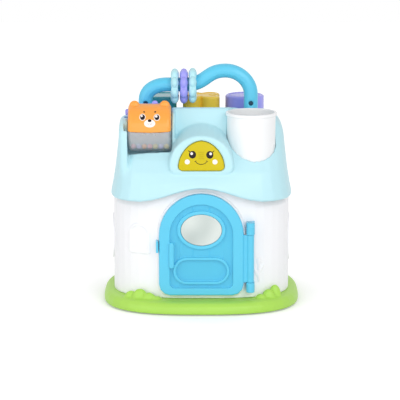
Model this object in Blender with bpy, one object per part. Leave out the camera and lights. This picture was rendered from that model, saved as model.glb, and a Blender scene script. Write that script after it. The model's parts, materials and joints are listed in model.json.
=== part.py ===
# Toddler activity house: a shape sorter with a roof, a hinged door, a rattle drum, a cup and handle rings.
# Metres, +Z up. The origin is on the ground under the middle of the base, and the door faces -Y.
import math

import bmesh
import bpy
from mathutils import Matrix, Vector

# Shared clearances
GAP = 0.0003
RUNNING_GAP = 0.0008
OVERRUN = 0.004

# Base tray
BASE_SIDE_RIM = 0.013
BASE_END_RIM = 0.028
BASE_POWER = 2.85
BASE_RIM_Z = 0.0015
BASE_TOP_Z = 0.0165
BASE_EDGE_ROUND = 0.010
BASE_SKIN = 0.003
FOOT_SIDE_INSET = 0.049
FOOT_END_INSET = 0.034
FOOT_RADIUS = 0.008
FOOT_THICKNESS = 0.003
FOOT_EDGE = 0.0006
BOSS_WALL = 0.0025
BUSH_CREST_Z = 0.033
BUSH_HALF_DEPTH = 0.0062

# Wall panels
WALL_HALF_WIDTH = 0.114
WALL_HALF_DEPTH = 0.086
WALL_POWER = 2.9
WALL_THICKNESS = 0.0025
WALL_SHOULDER_Z = 0.134
WALL_TUCK_Z = 0.143
WALL_TUCK = 0.0035
WALL_TOP_Z = 0.171
WALL_END_TUCK = 0.0015
SEAM_ANGLE = 26
RELIEF = 0.0011
WINDOW_SHIFT = 0.0045
WINDOW_BOTTOM_Z = 0.0735
WINDOW_HALF_WIDTH = 0.0135
WINDOW_HEIGHT = 0.039
WINDOW_BAND = 0.0028
SPRIG_SETOFF = 0.0111
SPRIG_FOOT_Z = 0.036
SPRIG_HEIGHT = 0.030
SORTER_Z = 0.082
SORTER_CLEARANCE = 0.0012
SORTER_RIM = 0.003
SORTER_RIM_PROUD = 0.0014
POST_ANGLE = 42
POST_BITE = 0.0010
POST_RADIUS = 0.006
POST_HEIGHT = 0.030

# Roof
ROOF_SIDE_OVERHANG = 0.003
ROOF_END_OVERHANG = 0.012
ROOF_POWER = 4.2
ROOF_SKIN = 0.003
EAVE_Z = 0.1435
RIDGE_Z = 0.255
WAVE_HEIGHT = 0.0180
WAVE_HALF_WIDTH = 0.082
DECK_Z = 0.236
DECK_FRONT_Y = -0.0145
PARAPET_FALL = 0.0026
DECK_SKIN = 0.007
NEST_DEPTH = 0.004

# Dormer and its sound button
DORMER_HALF_WIDTH = 0.041
DORMER_BOTTOM_Z = 0.1785
DORMER_HEIGHT = 0.0505
DORMER_CORNER = 0.009
DORMER_SETBACK = 0.0065
DORMER_BACK_Y = 0.036
DORMER_SKIN = 0.003
DORMER_EDGE = 0.0035
DORMER_SPREAD = 0.003
DORMER_CLIMB = 0.007
BUTTON_HALF_WIDTH = 0.029
BUTTON_BOTTOM_Z = 0.184
BUTTON_HEIGHT = 0.038
BUTTON_CORNER = 0.005
BUTTON_PROUD = 0.0018
BUTTON_FLANGE = 0.0014
BUTTON_FLANGE_THICKNESS = 0.0015
BUTTON_TRAVEL = 0.002
MODULE_WALL = 0.0018
MODULE_DEPTH = 0.0172
BOARD_THICKNESS = 0.0016
SPEAKER_RADIUS = 0.0135
SPEAKER_THICKNESS = 0.0045
SPRING_RADIUS = 0.0048
SPRING_WIRE = 0.0005
SPRING_TURNS = 4
LED_RADIUS = 0.0025
LED_HEIGHT = 0.0038

# Door
DOOR_HALF_WIDTH = 0.054
DOOR_BOTTOM_Z = 0.022
DOOR_SPRING_Z = 0.100
DOOR_CORNER = 0.0145
DOOR_THICKNESS = 0.0066
DOOR_EDGE = 0.0018
DOOR_LAP = 0.005
SEAT_PROUD = 0.0006
SEAT_MARGIN = 0.002
DOOR_BAND = 0.0135
DOOR_BAND_FOOT = 0.0095
DOOR_SINK = 0.0034
PLANK_GROOVE = 0.0011
PLANK_GROOVE_DEPTH = 0.0008
MIRROR_Z = 0.1072
MIRROR_HALF_WIDTH = 0.0265
MIRROR_HALF_HEIGHT = 0.0205
MIRROR_RING = 0.0045
MIRROR_THICKNESS = 0.002
MIRROR_SINK = 0.0009
PANEL_Z = 0.054
PANEL_HALF_WIDTH = 0.036
PANEL_HALF_HEIGHT = 0.0175
PANEL_RING = 0.0033
PULL_X = -0.0380
PULL_HALF_WIDTH = 0.0032
PULL_BOTTOM_Z = 0.0577
PULL_TOP_Z = 0.0917
PULL_PROUD = 0.0038
HINGE_X = 0.0627
BARREL_RADIUS = 0.0046
KNUCKLE_RADIUS = 0.0054
UPPER_KNUCKLE_Z = (0.1009, 0.1166)
LOWER_KNUCKLE_Z = (0.0258, 0.0386)
PIN_RADIUS = 0.002
PIN_END_MARGIN = 0.003
HINGE_WEB = 0.0032
LATCH_WIDTH = 0.003
LATCH_Z = (0.078, 0.093)
LATCH_PROUD = 0.0012

# Rattle drum
DRUM_SIDE_MARGIN = 0.051
DRUM_Y = -0.045
DRUM_Z = 0.232
DRUM_RADIUS = 0.0305
DRUM_HALF_WIDTH = 0.0275
DRUM_WALL = 0.002
DRUM_EDGE = 0.005
DRUM_WELL_RADIUS = 0.0368
DRUM_SPLIT = 0.002
CHIN_DROP = 0.0024
AXLE_RADIUS = 0.003
AXLE_BITE = 0.0025
LEFT_CHEEK = {"thickness": 0.011, "rise": 0.0115, "reach": 0.0290, "drop": 0.036, "edge": 0.008}
RIGHT_CHEEK = {"thickness": 0.004, "rise": 0.0225, "reach": 0.014, "drop": 0.0012, "edge": 0.0012}
CHEEK_POWER = 5
EAR_TRACK_RADII = (0.0145, 0.0247)
EAR_TRACK_DEPTH = 0.0046
BEAR_EAR_X = 0.0193
BEAR_EAR_Y = -0.005
BEAR_EAR_RISE = 0.0286
BEAR_EAR_RADIUS = 0.0069
BEAR_EAR_THICKNESS = 0.0044
SIDE_EAR_RADIUS = 0.0042
SIDE_EAR_REACH = 0.0040
SIDE_EAR_RISE = 0.0185
TUFT_X = 0.0065
TUFT_RADIUS = 0.0042
TUFT_ANGLE = 17
BEAD_RADIUS = 0.0034
BEAD_COUNT = 7
BEAD_PITCH = 0.00715

# Cup
CUP_SIDE_MARGIN = 0.053
CUP_Y = -0.045
CUP_RADIUS = 0.031
CUP_BOTTOM_Z = 0.188
CUP_TOP_Z = 0.252
CUP_WALL = 0.002
CUP_LIP = 0.002
CUP_LIP_HEIGHT = 0.0042
CUP_FOOT_ROUND = 0.003

# Handle and rings
HANDLE_Y = -0.002
HANDLE_RADIUS = 0.00935
LEFT_LEG_MARGIN = 0.0448
RIGHT_LEG_MARGIN = 0.0528
LEFT_LEG_TOP_Z = 0.262
RIGHT_LEG_TOP_Z = 0.268
ARM_SETOFF = 0.0262
ARM_LENGTH = 0.027
ARM_Z = 0.281
SWELL_LENGTH = 0.050
CREST_Z = 0.2992
SPIGOT_RADIUS = 0.005
SPIGOT_HEIGHT = 0.029
HANDLE_SCREW_RISE = 0.0216
RING_PLACES = (0.0116, 0.0234, 0.0348)
RING_OUTER = 0.0233
RING_BORE = 0.0116
RING_HALF_WIDTH = 0.0054
RING_LOBES = 8
RING_LOBE_DEPTH = 0.0012

# Sorting blocks
BLOCK_X = 0.057
BLOCK_SETOFF = 0.01365
BLOCK_HEIGHT = 0.0285
BLOCK_ROUND = 0.0028
BLOCK_SQUARE_HALF = 0.0245
BLOCK_SQUARE_CORNER = 0.007
BLOCK_DISC_RADIUS = 0.0255
BLOCK_LOBE_OFFSET = 0.0117
BLOCK_LOBE_RADIUS = 0.0125

# Battery bay in the rear wall
BAY_Z = 0.034
BAY_HALF_WIDTH = 0.030
BAY_HALF_HEIGHT = 0.0135
BAY_DEPTH = 0.015
BAY_WALL = 0.0018
BAY_CORNER = 0.004
CELL_RADIUS = 0.00525
CELL_LENGTH = 0.044

# Screws
SCREW_HEAD_RADIUS = 0.003
SCREW_HEAD_HEIGHT = 0.0022
SCREW_SHANK_RADIUS = 0.0015
SCREW_LENGTH = 0.012
BASE_SCREW_LENGTH = 0.018
BASE_SCREW_SINK = 0.006

# Roof sections from the eaves up, as shares of the rise, of the eaves' half width, of their half depth at
# the front and at the rear, and of the wave along the eaves.
ROOF_SECTION_SHARES = (
    (0.000, 0.988, 0.985, 0.985, 1.00),
    (0.022, 1.000, 1.000, 1.000, 0.94),
    (0.080, 0.987, 0.990, 0.990, 0.78),
    (0.190, 0.968, 0.962, 0.965, 0.40),
    (0.320, 0.949, 0.905, 0.935, 0.10),
    (0.460, 0.934, 0.802, 0.900, 0.00),
    (0.560, 0.923, 0.690, 0.875, 0.00),
    (0.630, 0.917, 0.577, 0.855, 0.00),
    (0.690, 0.911, 0.480, 0.840, 0.00),
    (0.760, 0.893, 0.414, 0.820, 0.00),
    (0.830, 0.852, 0.375, 0.800, 0.00),
    (0.900, 0.795, 0.345, 0.780, 0.00),
    (0.955, 0.735, 0.322, 0.765, 0.00),
    (0.987, 0.690, 0.303, 0.750, 0.00),
    (1.000, 0.620, 0.265, 0.720, 0.00),
)

# Bush lobes along the front, as shares: place along the base's half width, radius and height of the crest.
BUSH_SHARES = (
    (-0.71, 0.075, 0.48),
    (-0.62, 0.088, 0.74),
    (-0.53, 0.078, 0.50),
    (-0.45, 0.066, 0.26),
    (0.60, 0.066, 0.34),
    (0.68, 0.074, 0.66),
    (0.745, 0.070, 0.92),
)

# Facets
BASE_STEPS = 52
ROOF_STEPS = 56
HOLLOW_STEPS = 32
ROUND_STEPS = 20
FINE_STEPS = 40
SMALL_STEPS = 10
CORNER_STEPS = 3
ARCH_STEPS = 20
DOME_STEPS = 16
EDGE_STEPS = 3
DORMER_POWER = 2.1
BUTTON_POWER = 1.8
PANEL_STEPS = {"end": 21, "side": 7}
HANDLE_SIDES = 12
SPRING_STEPS = 8

COLORS = {
    "grass": (0.42, 0.75, 0.16, 1),
    "white": (0.93, 0.93, 0.94, 1),
    "aqua": (0.55, 0.87, 0.92, 1),
    "sky": (0.13, 0.62, 0.84, 1),
    "orange": (0.98, 0.40, 0.07, 1),
    "lilac": (0.42, 0.37, 0.93, 1),
    "yellow": (0.90, 0.60, 0.04, 1),
    "teal": (0.10, 0.50, 0.55, 1),
    "pink": (0.90, 0.35, 0.45, 1),
    "navy": (0.01, 0.08, 0.16, 1),
    "clear": (0.85, 0.88, 0.90, 0.35),
    "mirror": (0.80, 0.82, 0.82, 1),
    "steel": (0.60, 0.60, 0.62, 1),
    "rubber": (0.60, 0.60, 0.58, 1),
    "board": (0.05, 0.25, 0.10, 1),
    "cell": (0.20, 0.20, 0.22, 1),
}

# Values that follow from the sizes above
BASE_HALF_WIDTH = WALL_HALF_WIDTH + BASE_SIDE_RIM
BASE_HALF_DEPTH = WALL_HALF_DEPTH + BASE_END_RIM
FOOT_X = BASE_HALF_WIDTH - FOOT_SIDE_INSET
FOOT_Y = BASE_HALF_DEPTH - FOOT_END_INSET
WALL_TOP_HALF_DEPTH = WALL_HALF_DEPTH - WALL_END_TUCK
WINDOW_X = WINDOW_SHIFT - (DOOR_HALF_WIDTH + WALL_HALF_WIDTH) / 2
SPRIG_X = HINGE_X + SPRIG_SETOFF
ROOF_HALF_WIDTH = WALL_HALF_WIDTH + ROOF_SIDE_OVERHANG
ROOF_HALF_DEPTH = WALL_HALF_DEPTH + ROOF_END_OVERHANG
DORMER_FRONT_Y = ROOF_HALF_DEPTH - DORMER_SETBACK
DRUM_X = DRUM_SIDE_MARGIN - ROOF_HALF_WIDTH
CUP_X = ROOF_HALF_WIDTH - CUP_SIDE_MARGIN
LEFT_LEG_X = LEFT_LEG_MARGIN - ROOF_HALF_WIDTH
RIGHT_LEG_X = ROOF_HALF_WIDTH - RIGHT_LEG_MARGIN
ARM_START_X = LEFT_LEG_X + ARM_SETOFF
ARM_END_X = ARM_START_X + ARM_LENGTH
CREST_X = ARM_END_X + SWELL_LENGTH
RING_X = [ARM_START_X + place for place in RING_PLACES]
BLOCK_Y = HANDLE_Y + HANDLE_RADIUS + BLOCK_SETOFF + BLOCK_DISC_RADIUS
WALL_BOTTOM_Z = BASE_TOP_Z + GAP
SEAT_Y = -(WALL_HALF_DEPTH + SEAT_PROUD)
DOOR_BACK_Y = SEAT_Y - GAP
DOOR_FRONT_Y = DOOR_BACK_Y - DOOR_THICKNESS
DOOR_FLOOR_Y = DOOR_FRONT_Y + DOOR_SINK
HINGE_Y = (DOOR_BACK_Y + DOOR_FRONT_Y) / 2
BUTTON_FRONT_Y = -(DORMER_FRONT_Y + BUTTON_PROUD)
DORMER_INNER_Y = DORMER_SKIN - DORMER_FRONT_Y
BUTTON_BACK_Y = DORMER_INNER_Y + GAP + BUTTON_FLANGE_THICKNESS
MODULE_BACK_Y = DORMER_INNER_Y + GAP + MODULE_DEPTH
SPEAKER_BACK_Y = MODULE_BACK_Y - MODULE_WALL - GAP
BOARD_BACK_Y = SPEAKER_BACK_Y - SPEAKER_THICKNESS - GAP
BOARD_FRONT_Y = BOARD_BACK_Y - BOARD_THICKNESS
DRUM_WELL_HALF = DRUM_HALF_WIDTH + RUNNING_GAP
NEST_FLOOR_Z = DECK_Z - NEST_DEPTH
HANDLE_FOOT_Z = DECK_Z + GAP
CUP_WELL_RADIUS = CUP_RADIUS + GAP
CUP_WELL_Z = CUP_BOTTOM_Z - GAP
BAY_OUTER_Y = WALL_HALF_DEPTH
COVER_INNER_Y = WALL_HALF_DEPTH - WALL_THICKNESS


# Outlines

def arc(center, radius, first, last, steps):
    # Both ends are included, and angles are in degrees.
    points = []
    for step in range(steps + 1):
        angle = math.radians(first + (last - first) * step / steps)
        points.append((center[0] + radius * math.cos(angle), center[1] + radius * math.sin(angle)))
    return points


def circle(center, radius, steps):
    return arc(center, radius, 0, 360, steps)[:-1]


def ellipse(center, half_width, half_height, steps):
    return [(center[0] + u * half_width, center[1] + v * half_height) for u, v in circle((0, 0), 1, steps)]


def rectangle(left, right, bottom, top):
    return [(left, bottom), (right, bottom), (right, top), (left, top)]


def rounded_rectangle(center, half_width, half_height, corner, steps=CORNER_STEPS):
    points = []
    for turn, (side, level) in enumerate(((1, -1), (1, 1), (-1, 1), (-1, -1))):
        middle = (
            center[0] + side * (half_width - corner),
            center[1] + level * (half_height - corner),
        )
        points += arc(middle, corner, 90 * turn - 90, 90 * turn, steps)
    return points


def stadium(center, half_width, half_height):
    right = (center[0] + half_width - half_height, center[1])
    left = (center[0] - half_width + half_height, center[1])
    points = arc(right, half_height, -90, 90, SMALL_STEPS)
    return points + arc(left, half_height, 90, 270, SMALL_STEPS)


def arch(center, half_width, bottom, spring, corner, steps=ARCH_STEPS):
    points = arc((center + half_width - corner, bottom + corner), corner, -90, 0, CORNER_STEPS)
    points += arc((center, spring), half_width, 0, 180, steps)
    return points + arc((center - half_width + corner, bottom + corner), corner, 180, 270, CORNER_STEPS)


def superellipse(half_width, half_depth, power, angle):
    cosine, sine = math.cos(angle), math.sin(angle)
    reach = (abs(cosine) ** power + abs(sine) ** power) ** (-1 / power)
    return half_width * reach * cosine, half_depth * reach * sine


def superellipse_outline(half_width, half_depth, power, steps):
    return [superellipse(half_width, half_depth, power, 2 * math.pi * i / steps) for i in range(steps)]


def dome(half_width, bottom, height, corner, power):
    points = arc((half_width - corner, bottom + corner), corner, -90, 0, CORNER_STEPS)
    for step in range(1, DOME_STEPS):
        u, v = superellipse(half_width, height - corner, power, math.pi * step / DOME_STEPS)
        points.append((u, bottom + corner + v))
    return points + arc((corner - half_width, bottom + corner), corner, 180, 270, CORNER_STEPS)


def quatrefoil(center, offset, radius):
    # Four round lobes on the diagonals. Neighbouring lobes meet on the axes.
    reach = math.degrees(math.asin(offset / radius))
    points = []
    for turn in range(4):
        angle = math.radians(45 + 90 * turn)
        spread = offset * math.sqrt(2)
        middle = (center[0] + spread * math.cos(angle), center[1] + spread * math.sin(angle))
        points += arc(middle, radius, 90 * turn - reach, 90 * turn + 90 + reach, SMALL_STEPS)[1:]
    return points


def inset_outline(outline, inset):
    # Moves each point of a counter-clockwise outline inwards, or outwards where inset is negative.
    moved = []
    for index, (u, v) in enumerate(outline):
        before = Vector(outline[index - 1])
        after = Vector(outline[(index + 1) % len(outline)])
        along = (after - before).normalized()
        moved.append((u - along.y * inset, v + along.x * inset))
    return moved


def edge_levels(first, last, edge, both=False):
    # Sweep levels (inset, place) whose last end, or both ends, are rounded by the size edge.
    toward = math.copysign(1, last - first)
    rounding = []
    for step in range(1, EDGE_STEPS + 1):
        angle = math.pi / 2 * step / EDGE_STEPS
        rounding.append((edge * (1 - math.cos(angle)), edge * (1 - math.sin(angle))))
    end = [(0, last - toward * edge)] + [(inset, last - toward * back) for inset, back in rounding]
    if not both:
        return [(0, first)] + end
    start = [(0, first + toward * edge)] + [(inset, first + toward * back) for inset, back in rounding]
    return start[::-1] + end


# Facing: an outline's two coordinates and its place along the sweep, as a point

def front(u, v, place):
    return Vector((u, place, v))


def side(u, v, place):
    return Vector((place, u, v))


def top(u, v, place):
    return Vector((u, v, place))


# Solids

def loft(loops, wrapped=False, fan=False):
    # A closed body through loops that have as many points each.
    mesh = bmesh.new()
    rows = [[mesh.verts.new(point) for point in loop] for loop in loops]
    pairs = list(zip(rows, rows[1:]))
    if wrapped:
        pairs.append((rows[-1], rows[0]))
    for lower, upper in pairs:
        for index in range(len(lower)):
            after = (index + 1) % len(lower)
            mesh.faces.new((lower[index], lower[after], upper[after], upper[index]))
    if not wrapped:
        for row in (rows[0], rows[-1]):
            close_end(mesh, row, fan)
    bmesh.ops.recalc_face_normals(mesh, faces=mesh.faces)
    return as_object(mesh)


def close_end(mesh, row, fan):
    if not fan:
        mesh.faces.new(row)
        return
    middle = mesh.verts.new(sum((vertex.co for vertex in row), Vector()) / len(row))
    for index in range(len(row)):
        mesh.faces.new((row[index], row[(index + 1) % len(row)], middle))


def as_object(mesh):
    data = bpy.data.meshes.new("shape")
    mesh.to_mesh(data)
    mesh.free()
    shape = bpy.data.objects.new("shape", data)
    bpy.context.scene.collection.objects.link(shape)
    return shape


def swept(outline, levels, facing):
    loops = []
    for inset, place in levels:
        loops.append([facing(u, v, place) for u, v in inset_outline(outline, inset)])
    return loft(loops)


def prism(outline, first, last, facing):
    return swept(outline, [(0, first), (0, last)], facing)


def block(x, y, z):
    return prism(rectangle(*x, *y), z[0], z[1], top)


def turned(center, profile, facing, steps=ROUND_STEPS):
    # A body turned about an axis, from a profile of (radius, place along the axis).
    loops = []
    for radius, place in profile:
        loops.append([facing(u, v, place) for u, v in circle(center, radius, steps)])
    return loft(loops)


def rod(center, radius, first, last, facing, steps=SMALL_STEPS):
    return turned(center, [(radius, first), (radius, last)], facing, steps)


def tube(path, radius, sides):
    # A round bar along a path. Its section is carried from point to point without twisting.
    points = [Vector(point) for point in path]
    across = None
    loops = []
    for index, point in enumerate(points):
        before = points[max(index - 1, 0)]
        after = points[min(index + 1, len(points) - 1)]
        along = (after - before).normalized()
        if across is None:
            across = along.orthogonal()
        across = (across - along * across.dot(along)).normalized()
        beside = along.cross(across)
        loops.append([point + across * u + beside * v for u, v in circle((0, 0), radius, sides)])
    return loft(loops)


def ball(center, radii, segments=10, rings=6):
    mesh = bmesh.new()
    placing = Matrix.Translation(center) @ Matrix.Diagonal((*radii, 1))
    bmesh.ops.create_uvsphere(mesh, u_segments=segments, v_segments=rings, radius=1, matrix=placing)
    return as_object(mesh)


def drop(shape):
    data = shape.data
    bpy.data.objects.remove(shape)
    bpy.data.meshes.remove(data)


def combine(body, other, operation):
    # The other body is used up.
    step = body.modifiers.new("combine", "BOOLEAN")
    step.operation = operation
    step.solver = "EXACT"
    step.object = other
    graph = bpy.context.evaluated_depsgraph_get()
    result = bpy.data.meshes.new_from_object(body.evaluated_get(graph))
    body.modifiers.clear()
    old = body.data
    body.data = result
    bpy.data.meshes.remove(old)
    drop(other)


def cut(body, *cutters):
    for cutter in cutters:
        combine(body, cutter, "DIFFERENCE")
    return body


def join(body, *others):
    for other in others:
        combine(body, other, "UNION")
    return body


def keep(body, other):
    combine(body, other, "INTERSECT")
    return body


def material_of(color, roughness, metallic=0, transmission=0):
    name = "plastic_" + color if not metallic else "metal_" + color
    if name in bpy.data.materials:
        return bpy.data.materials[name]
    material = bpy.data.materials.new(name)
    material.use_nodes = True
    shader = material.node_tree.nodes["Principled BSDF"]
    shader.inputs["Base Color"].default_value = COLORS[color]
    shader.inputs["Roughness"].default_value = roughness
    shader.inputs["Metallic"].default_value = metallic
    shader.inputs["Transmission Weight"].default_value = transmission
    material.diffuse_color = COLORS[color]
    return material


def finish(shape, name, color, roughness=0.35, metallic=0, transmission=0, origin=None):
    # Names the piece, shades it, and puts its origin on the axis it turns or slides on.
    shape.name = name
    shape.data.name = name
    shape.data.materials.clear()
    shape.data.materials.append(material_of(color, roughness, metallic, transmission))
    shape.data.shade_smooth()
    shape.data.set_sharp_from_angle(angle=math.radians(35))
    if origin is not None:
        shape.data.transform(Matrix.Translation(-Vector(origin)))
        shape.location = origin
    return shape


# Base tray

def wall_y(x):
    return WALL_HALF_DEPTH * (1 - (abs(x) / WALL_HALF_WIDTH) ** WALL_POWER) ** (1 / WALL_POWER)


def base_outline():
    return superellipse_outline(BASE_HALF_WIDTH, BASE_HALF_DEPTH, BASE_POWER, BASE_STEPS)


def base_hollow():
    ceiling = BASE_TOP_Z - BASE_SKIN
    hollow = swept(base_outline(), [(BASE_SKIN, -OVERRUN), (BASE_SKIN, BASE_RIM_Z),
                                    (BASE_EDGE_ROUND, ceiling)], top)
    for x, y in corners(FOOT_X, FOOT_Y):
        cut(hollow, rod((x, y), FOOT_RADIUS + GAP + BOSS_WALL, -OVERRUN, BASE_TOP_Z, top))
    for x, y in post_places():
        cut(hollow, rod((x, y), SCREW_HEAD_RADIUS + GAP + BOSS_WALL, -OVERRUN, BASE_TOP_Z, top))
    return hollow


def corners(x, y):
    return [(-x, -y), (x, -y), (-x, y), (x, y)]


def wall_cutter(bottom=0):
    # The walls' outer form, grown by the gap that touching pieces keep.
    outline = superellipse_outline(WALL_HALF_WIDTH + GAP, WALL_HALF_DEPTH + GAP, WALL_POWER, 2 * BASE_STEPS)
    return prism(outline, bottom, WALL_SHOULDER_Z, top)


def bush_lobe(place_share, radius_share, height_share):
    x = BASE_HALF_WIDTH * place_share
    rise = (BUSH_CREST_Z - BASE_TOP_Z) * height_share
    sunk = BASE_EDGE_ROUND / 4
    center = (x, -(wall_y(x) + RELIEF + GAP + BUSH_HALF_DEPTH), BASE_TOP_Z - sunk)
    lobe = ball(center, (BASE_HALF_WIDTH * radius_share, BUSH_HALF_DEPTH, rise + sunk), 12, 8)
    keep(lobe, prism(base_outline(), center[2], BUSH_CREST_Z + OVERRUN, top))
    return cut(lobe, wall_cutter(WALL_BOTTOM_Z))


def make_base():
    body = swept(base_outline(), edge_levels(BASE_RIM_Z, BASE_TOP_Z, BASE_EDGE_ROUND), top)
    join(body, *[bush_lobe(*shares) for shares in BUSH_SHARES])
    cut(body, base_hollow())
    for x, y in corners(FOOT_X, FOOT_Y):
        cut(body, rod((x, y), FOOT_RADIUS + GAP, -OVERRUN, FOOT_THICKNESS + GAP, top, ROUND_STEPS))
    for x, y in post_places():
        cut(body, rod((x, y), SCREW_HEAD_RADIUS + GAP, -OVERRUN, head_seat_z(), top))
        cut(body, rod((x, y), SCREW_SHANK_RADIUS + GAP, -OVERRUN, BASE_TOP_Z + OVERRUN, top))
    finish(body, "base_plate", "grass")


def head_seat_z():
    return BASE_SCREW_SINK + SCREW_HEAD_HEIGHT + GAP


def make_feet():
    for (x, y), name in zip(corners(FOOT_X, FOOT_Y), ("front_left", "front_right", "rear_left", "rear_right")):
        profile = [(FOOT_RADIUS - FOOT_EDGE, 0), (FOOT_RADIUS, FOOT_EDGE), (FOOT_RADIUS, FOOT_THICKNESS)]
        finish(turned((x, y), profile, top), "foot_" + name, "rubber", 0.8)


def screw(center, seat, length, toward, facing):
    # The head lies before the seat and the shank runs on from it, both along toward.
    profile = [
        (SCREW_HEAD_RADIUS * 0.8, seat - toward * SCREW_HEAD_HEIGHT),
        (SCREW_HEAD_RADIUS, seat - toward * SCREW_HEAD_HEIGHT * 0.7),
        (SCREW_HEAD_RADIUS, seat),
        (SCREW_SHANK_RADIUS, seat),
        (SCREW_SHANK_RADIUS, seat + toward * length * 0.85),
        (SCREW_SHANK_RADIUS * 0.4, seat + toward * length),
    ]
    shape = turned(center, profile, facing, SMALL_STEPS)
    arm = SCREW_HEAD_RADIUS * 0.6
    slot = SCREW_HEAD_RADIUS * 0.16
    ends = sorted((seat - toward * SCREW_HEAD_HEIGHT * 0.5, seat - toward * SCREW_HEAD_HEIGHT * 2))
    u, v = center
    cut(shape, prism(rectangle(u - arm, u + arm, v - slot, v + slot), *ends, facing))
    cut(shape, prism(rectangle(u - slot, u + slot, v - arm, v + arm), *ends, facing))
    return shape


def make_base_screws():
    for (x, y), name in zip(post_places(), ("front_left", "front_right", "rear_left", "rear_right")):
        shape = screw((x, y), BASE_SCREW_SINK + SCREW_HEAD_HEIGHT, BASE_SCREW_LENGTH, 1, top)
        finish(shape, "base_screw_" + name, "steel", 0.3, 1)


# Walls

def roof_half_width_at(z):
    share = (z - EAVE_Z) / (RIDGE_Z - EAVE_Z)
    for lower, upper in zip(ROOF_SECTION_SHARES, ROOF_SECTION_SHARES[1:]):
        if share <= upper[0]:
            part = (share - lower[0]) / (upper[0] - lower[0])
            return ROOF_HALF_WIDTH * (lower[1] + (upper[1] - lower[1]) * part)
    return ROOF_HALF_WIDTH * ROOF_SECTION_SHARES[-1][1]


def wall_levels():
    top_half_width = roof_half_width_at(WALL_TOP_Z) - ROOF_SKIN - 2 * GAP
    return (
        (WALL_BOTTOM_Z, WALL_HALF_WIDTH, WALL_HALF_DEPTH),
        (WALL_SHOULDER_Z, WALL_HALF_WIDTH, WALL_HALF_DEPTH),
        (WALL_TUCK_Z, WALL_HALF_WIDTH - WALL_TUCK, WALL_HALF_DEPTH),
        (WALL_TOP_Z, top_half_width, WALL_TOP_HALF_DEPTH),
    )


def panel(levels, first, last, steps, outset=0, thickness=WALL_THICKNESS):
    # A curved wall between two angles, in degrees, of the house's outline.
    angles = [math.radians(first + (last - first) * step / steps) for step in range(steps + 1)]
    loops = []
    for z, half_width, half_depth in levels:
        loop = []
        for angle in angles:
            x, y = superellipse(half_width + outset, half_depth + outset, WALL_POWER, angle)
            loop.append((x, y, z))
        for angle in reversed(angles):
            x, y = superellipse(half_width - thickness, half_depth - thickness, WALL_POWER, angle)
            loop.append((x, y, z))
        loops.append(loop)
    return loft(loops)


def relief(shape, first, last, steps, proud):
    # The part of a prism that stands proud of the wall by the given height.
    levels = [(z, half_width, half_depth) for z, half_width, half_depth in wall_levels()]
    return keep(shape, panel(levels, first, last, steps, proud, WALL_THICKNESS / 2))


def seam_margin():
    return math.degrees(GAP / WALL_HALF_DEPTH) / 2


def end_panel(middle):
    reach = 90 - SEAM_ANGLE - seam_margin()
    return panel(wall_levels(), middle - reach, middle + reach, PANEL_STEPS["end"])


def side_panel(middle):
    reach = SEAM_ANGLE - seam_margin()
    return panel(wall_levels(), middle - reach, middle + reach, PANEL_STEPS["side"])


def post_places():
    # Each post stands inside a corner of the walls and bites into it.
    half_width = WALL_HALF_WIDTH - WALL_THICKNESS
    half_depth = WALL_HALF_DEPTH - WALL_THICKNESS
    x, y = superellipse(half_width, half_depth, WALL_POWER, math.radians(POST_ANGLE))
    outward = Vector((x ** (WALL_POWER - 1) / half_width ** WALL_POWER,
                      y ** (WALL_POWER - 1) / half_depth ** WALL_POWER)).normalized()
    inset = POST_RADIUS - POST_BITE
    return corners(x - outward.x * inset, y - outward.y * inset)


def post(x, y):
    return rod((x, y), POST_RADIUS, WALL_BOTTOM_Z + GAP, WALL_BOTTOM_Z + POST_HEIGHT, top)


def post_bore(x, y):
    length = BASE_SCREW_SINK + SCREW_HEAD_HEIGHT + BASE_SCREW_LENGTH + GAP
    return rod((x, y), SCREW_SHANK_RADIUS + GAP, BASE_TOP_Z - OVERRUN, length, top)


def door_outline(inset=0):
    return inset_outline(arch(0, DOOR_HALF_WIDTH, DOOR_BOTTOM_Z, DOOR_SPRING_Z, DOOR_CORNER), inset)


def window_relief():
    spring = WINDOW_BOTTOM_Z + WINDOW_HEIGHT - WINDOW_HALF_WIDTH
    outline = arch(WINDOW_X, WINDOW_HALF_WIDTH, WINDOW_BOTTOM_Z, spring, WINDOW_BAND, 14)
    band = prism(outline, -WALL_HALF_DEPTH - OVERRUN, 0, front)
    cut(band, prism(inset_outline(outline, WINDOW_BAND), -WALL_HALF_DEPTH - 2 * OVERRUN, OVERRUN, front))
    return relief(band, 200, 340, PANEL_STEPS["end"], RELIEF)


def sprig_leaf(x_share, z_share, width_share, height_share, tilt):
    center = (SPRIG_X + SPRIG_HEIGHT * x_share, SPRIG_FOOT_Z + SPRIG_HEIGHT * z_share)
    turn = Matrix.Rotation(math.radians(tilt), 2)
    outline = []
    for u, v in ellipse((0, 0), SPRIG_HEIGHT * width_share, SPRIG_HEIGHT * height_share, SMALL_STEPS):
        spot = turn @ Vector((u, v))
        outline.append((center[0] + spot.x, center[1] + spot.y))
    return prism(outline, -WALL_HALF_DEPTH - OVERRUN, 0, front)


def sprig_relief():
    sprig = sprig_leaf(0, 0.5, 0.035, 0.5, 0)
    join(sprig, sprig_leaf(-0.10, 0.42, 0.055, 0.20, 28), sprig_leaf(0.10, 0.56, 0.055, 0.20, -28))
    join(sprig, sprig_leaf(0, 0.92, 0.09, 0.13, 0))
    return relief(sprig, 200, 340, PANEL_STEPS["end"], RELIEF)


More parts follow.
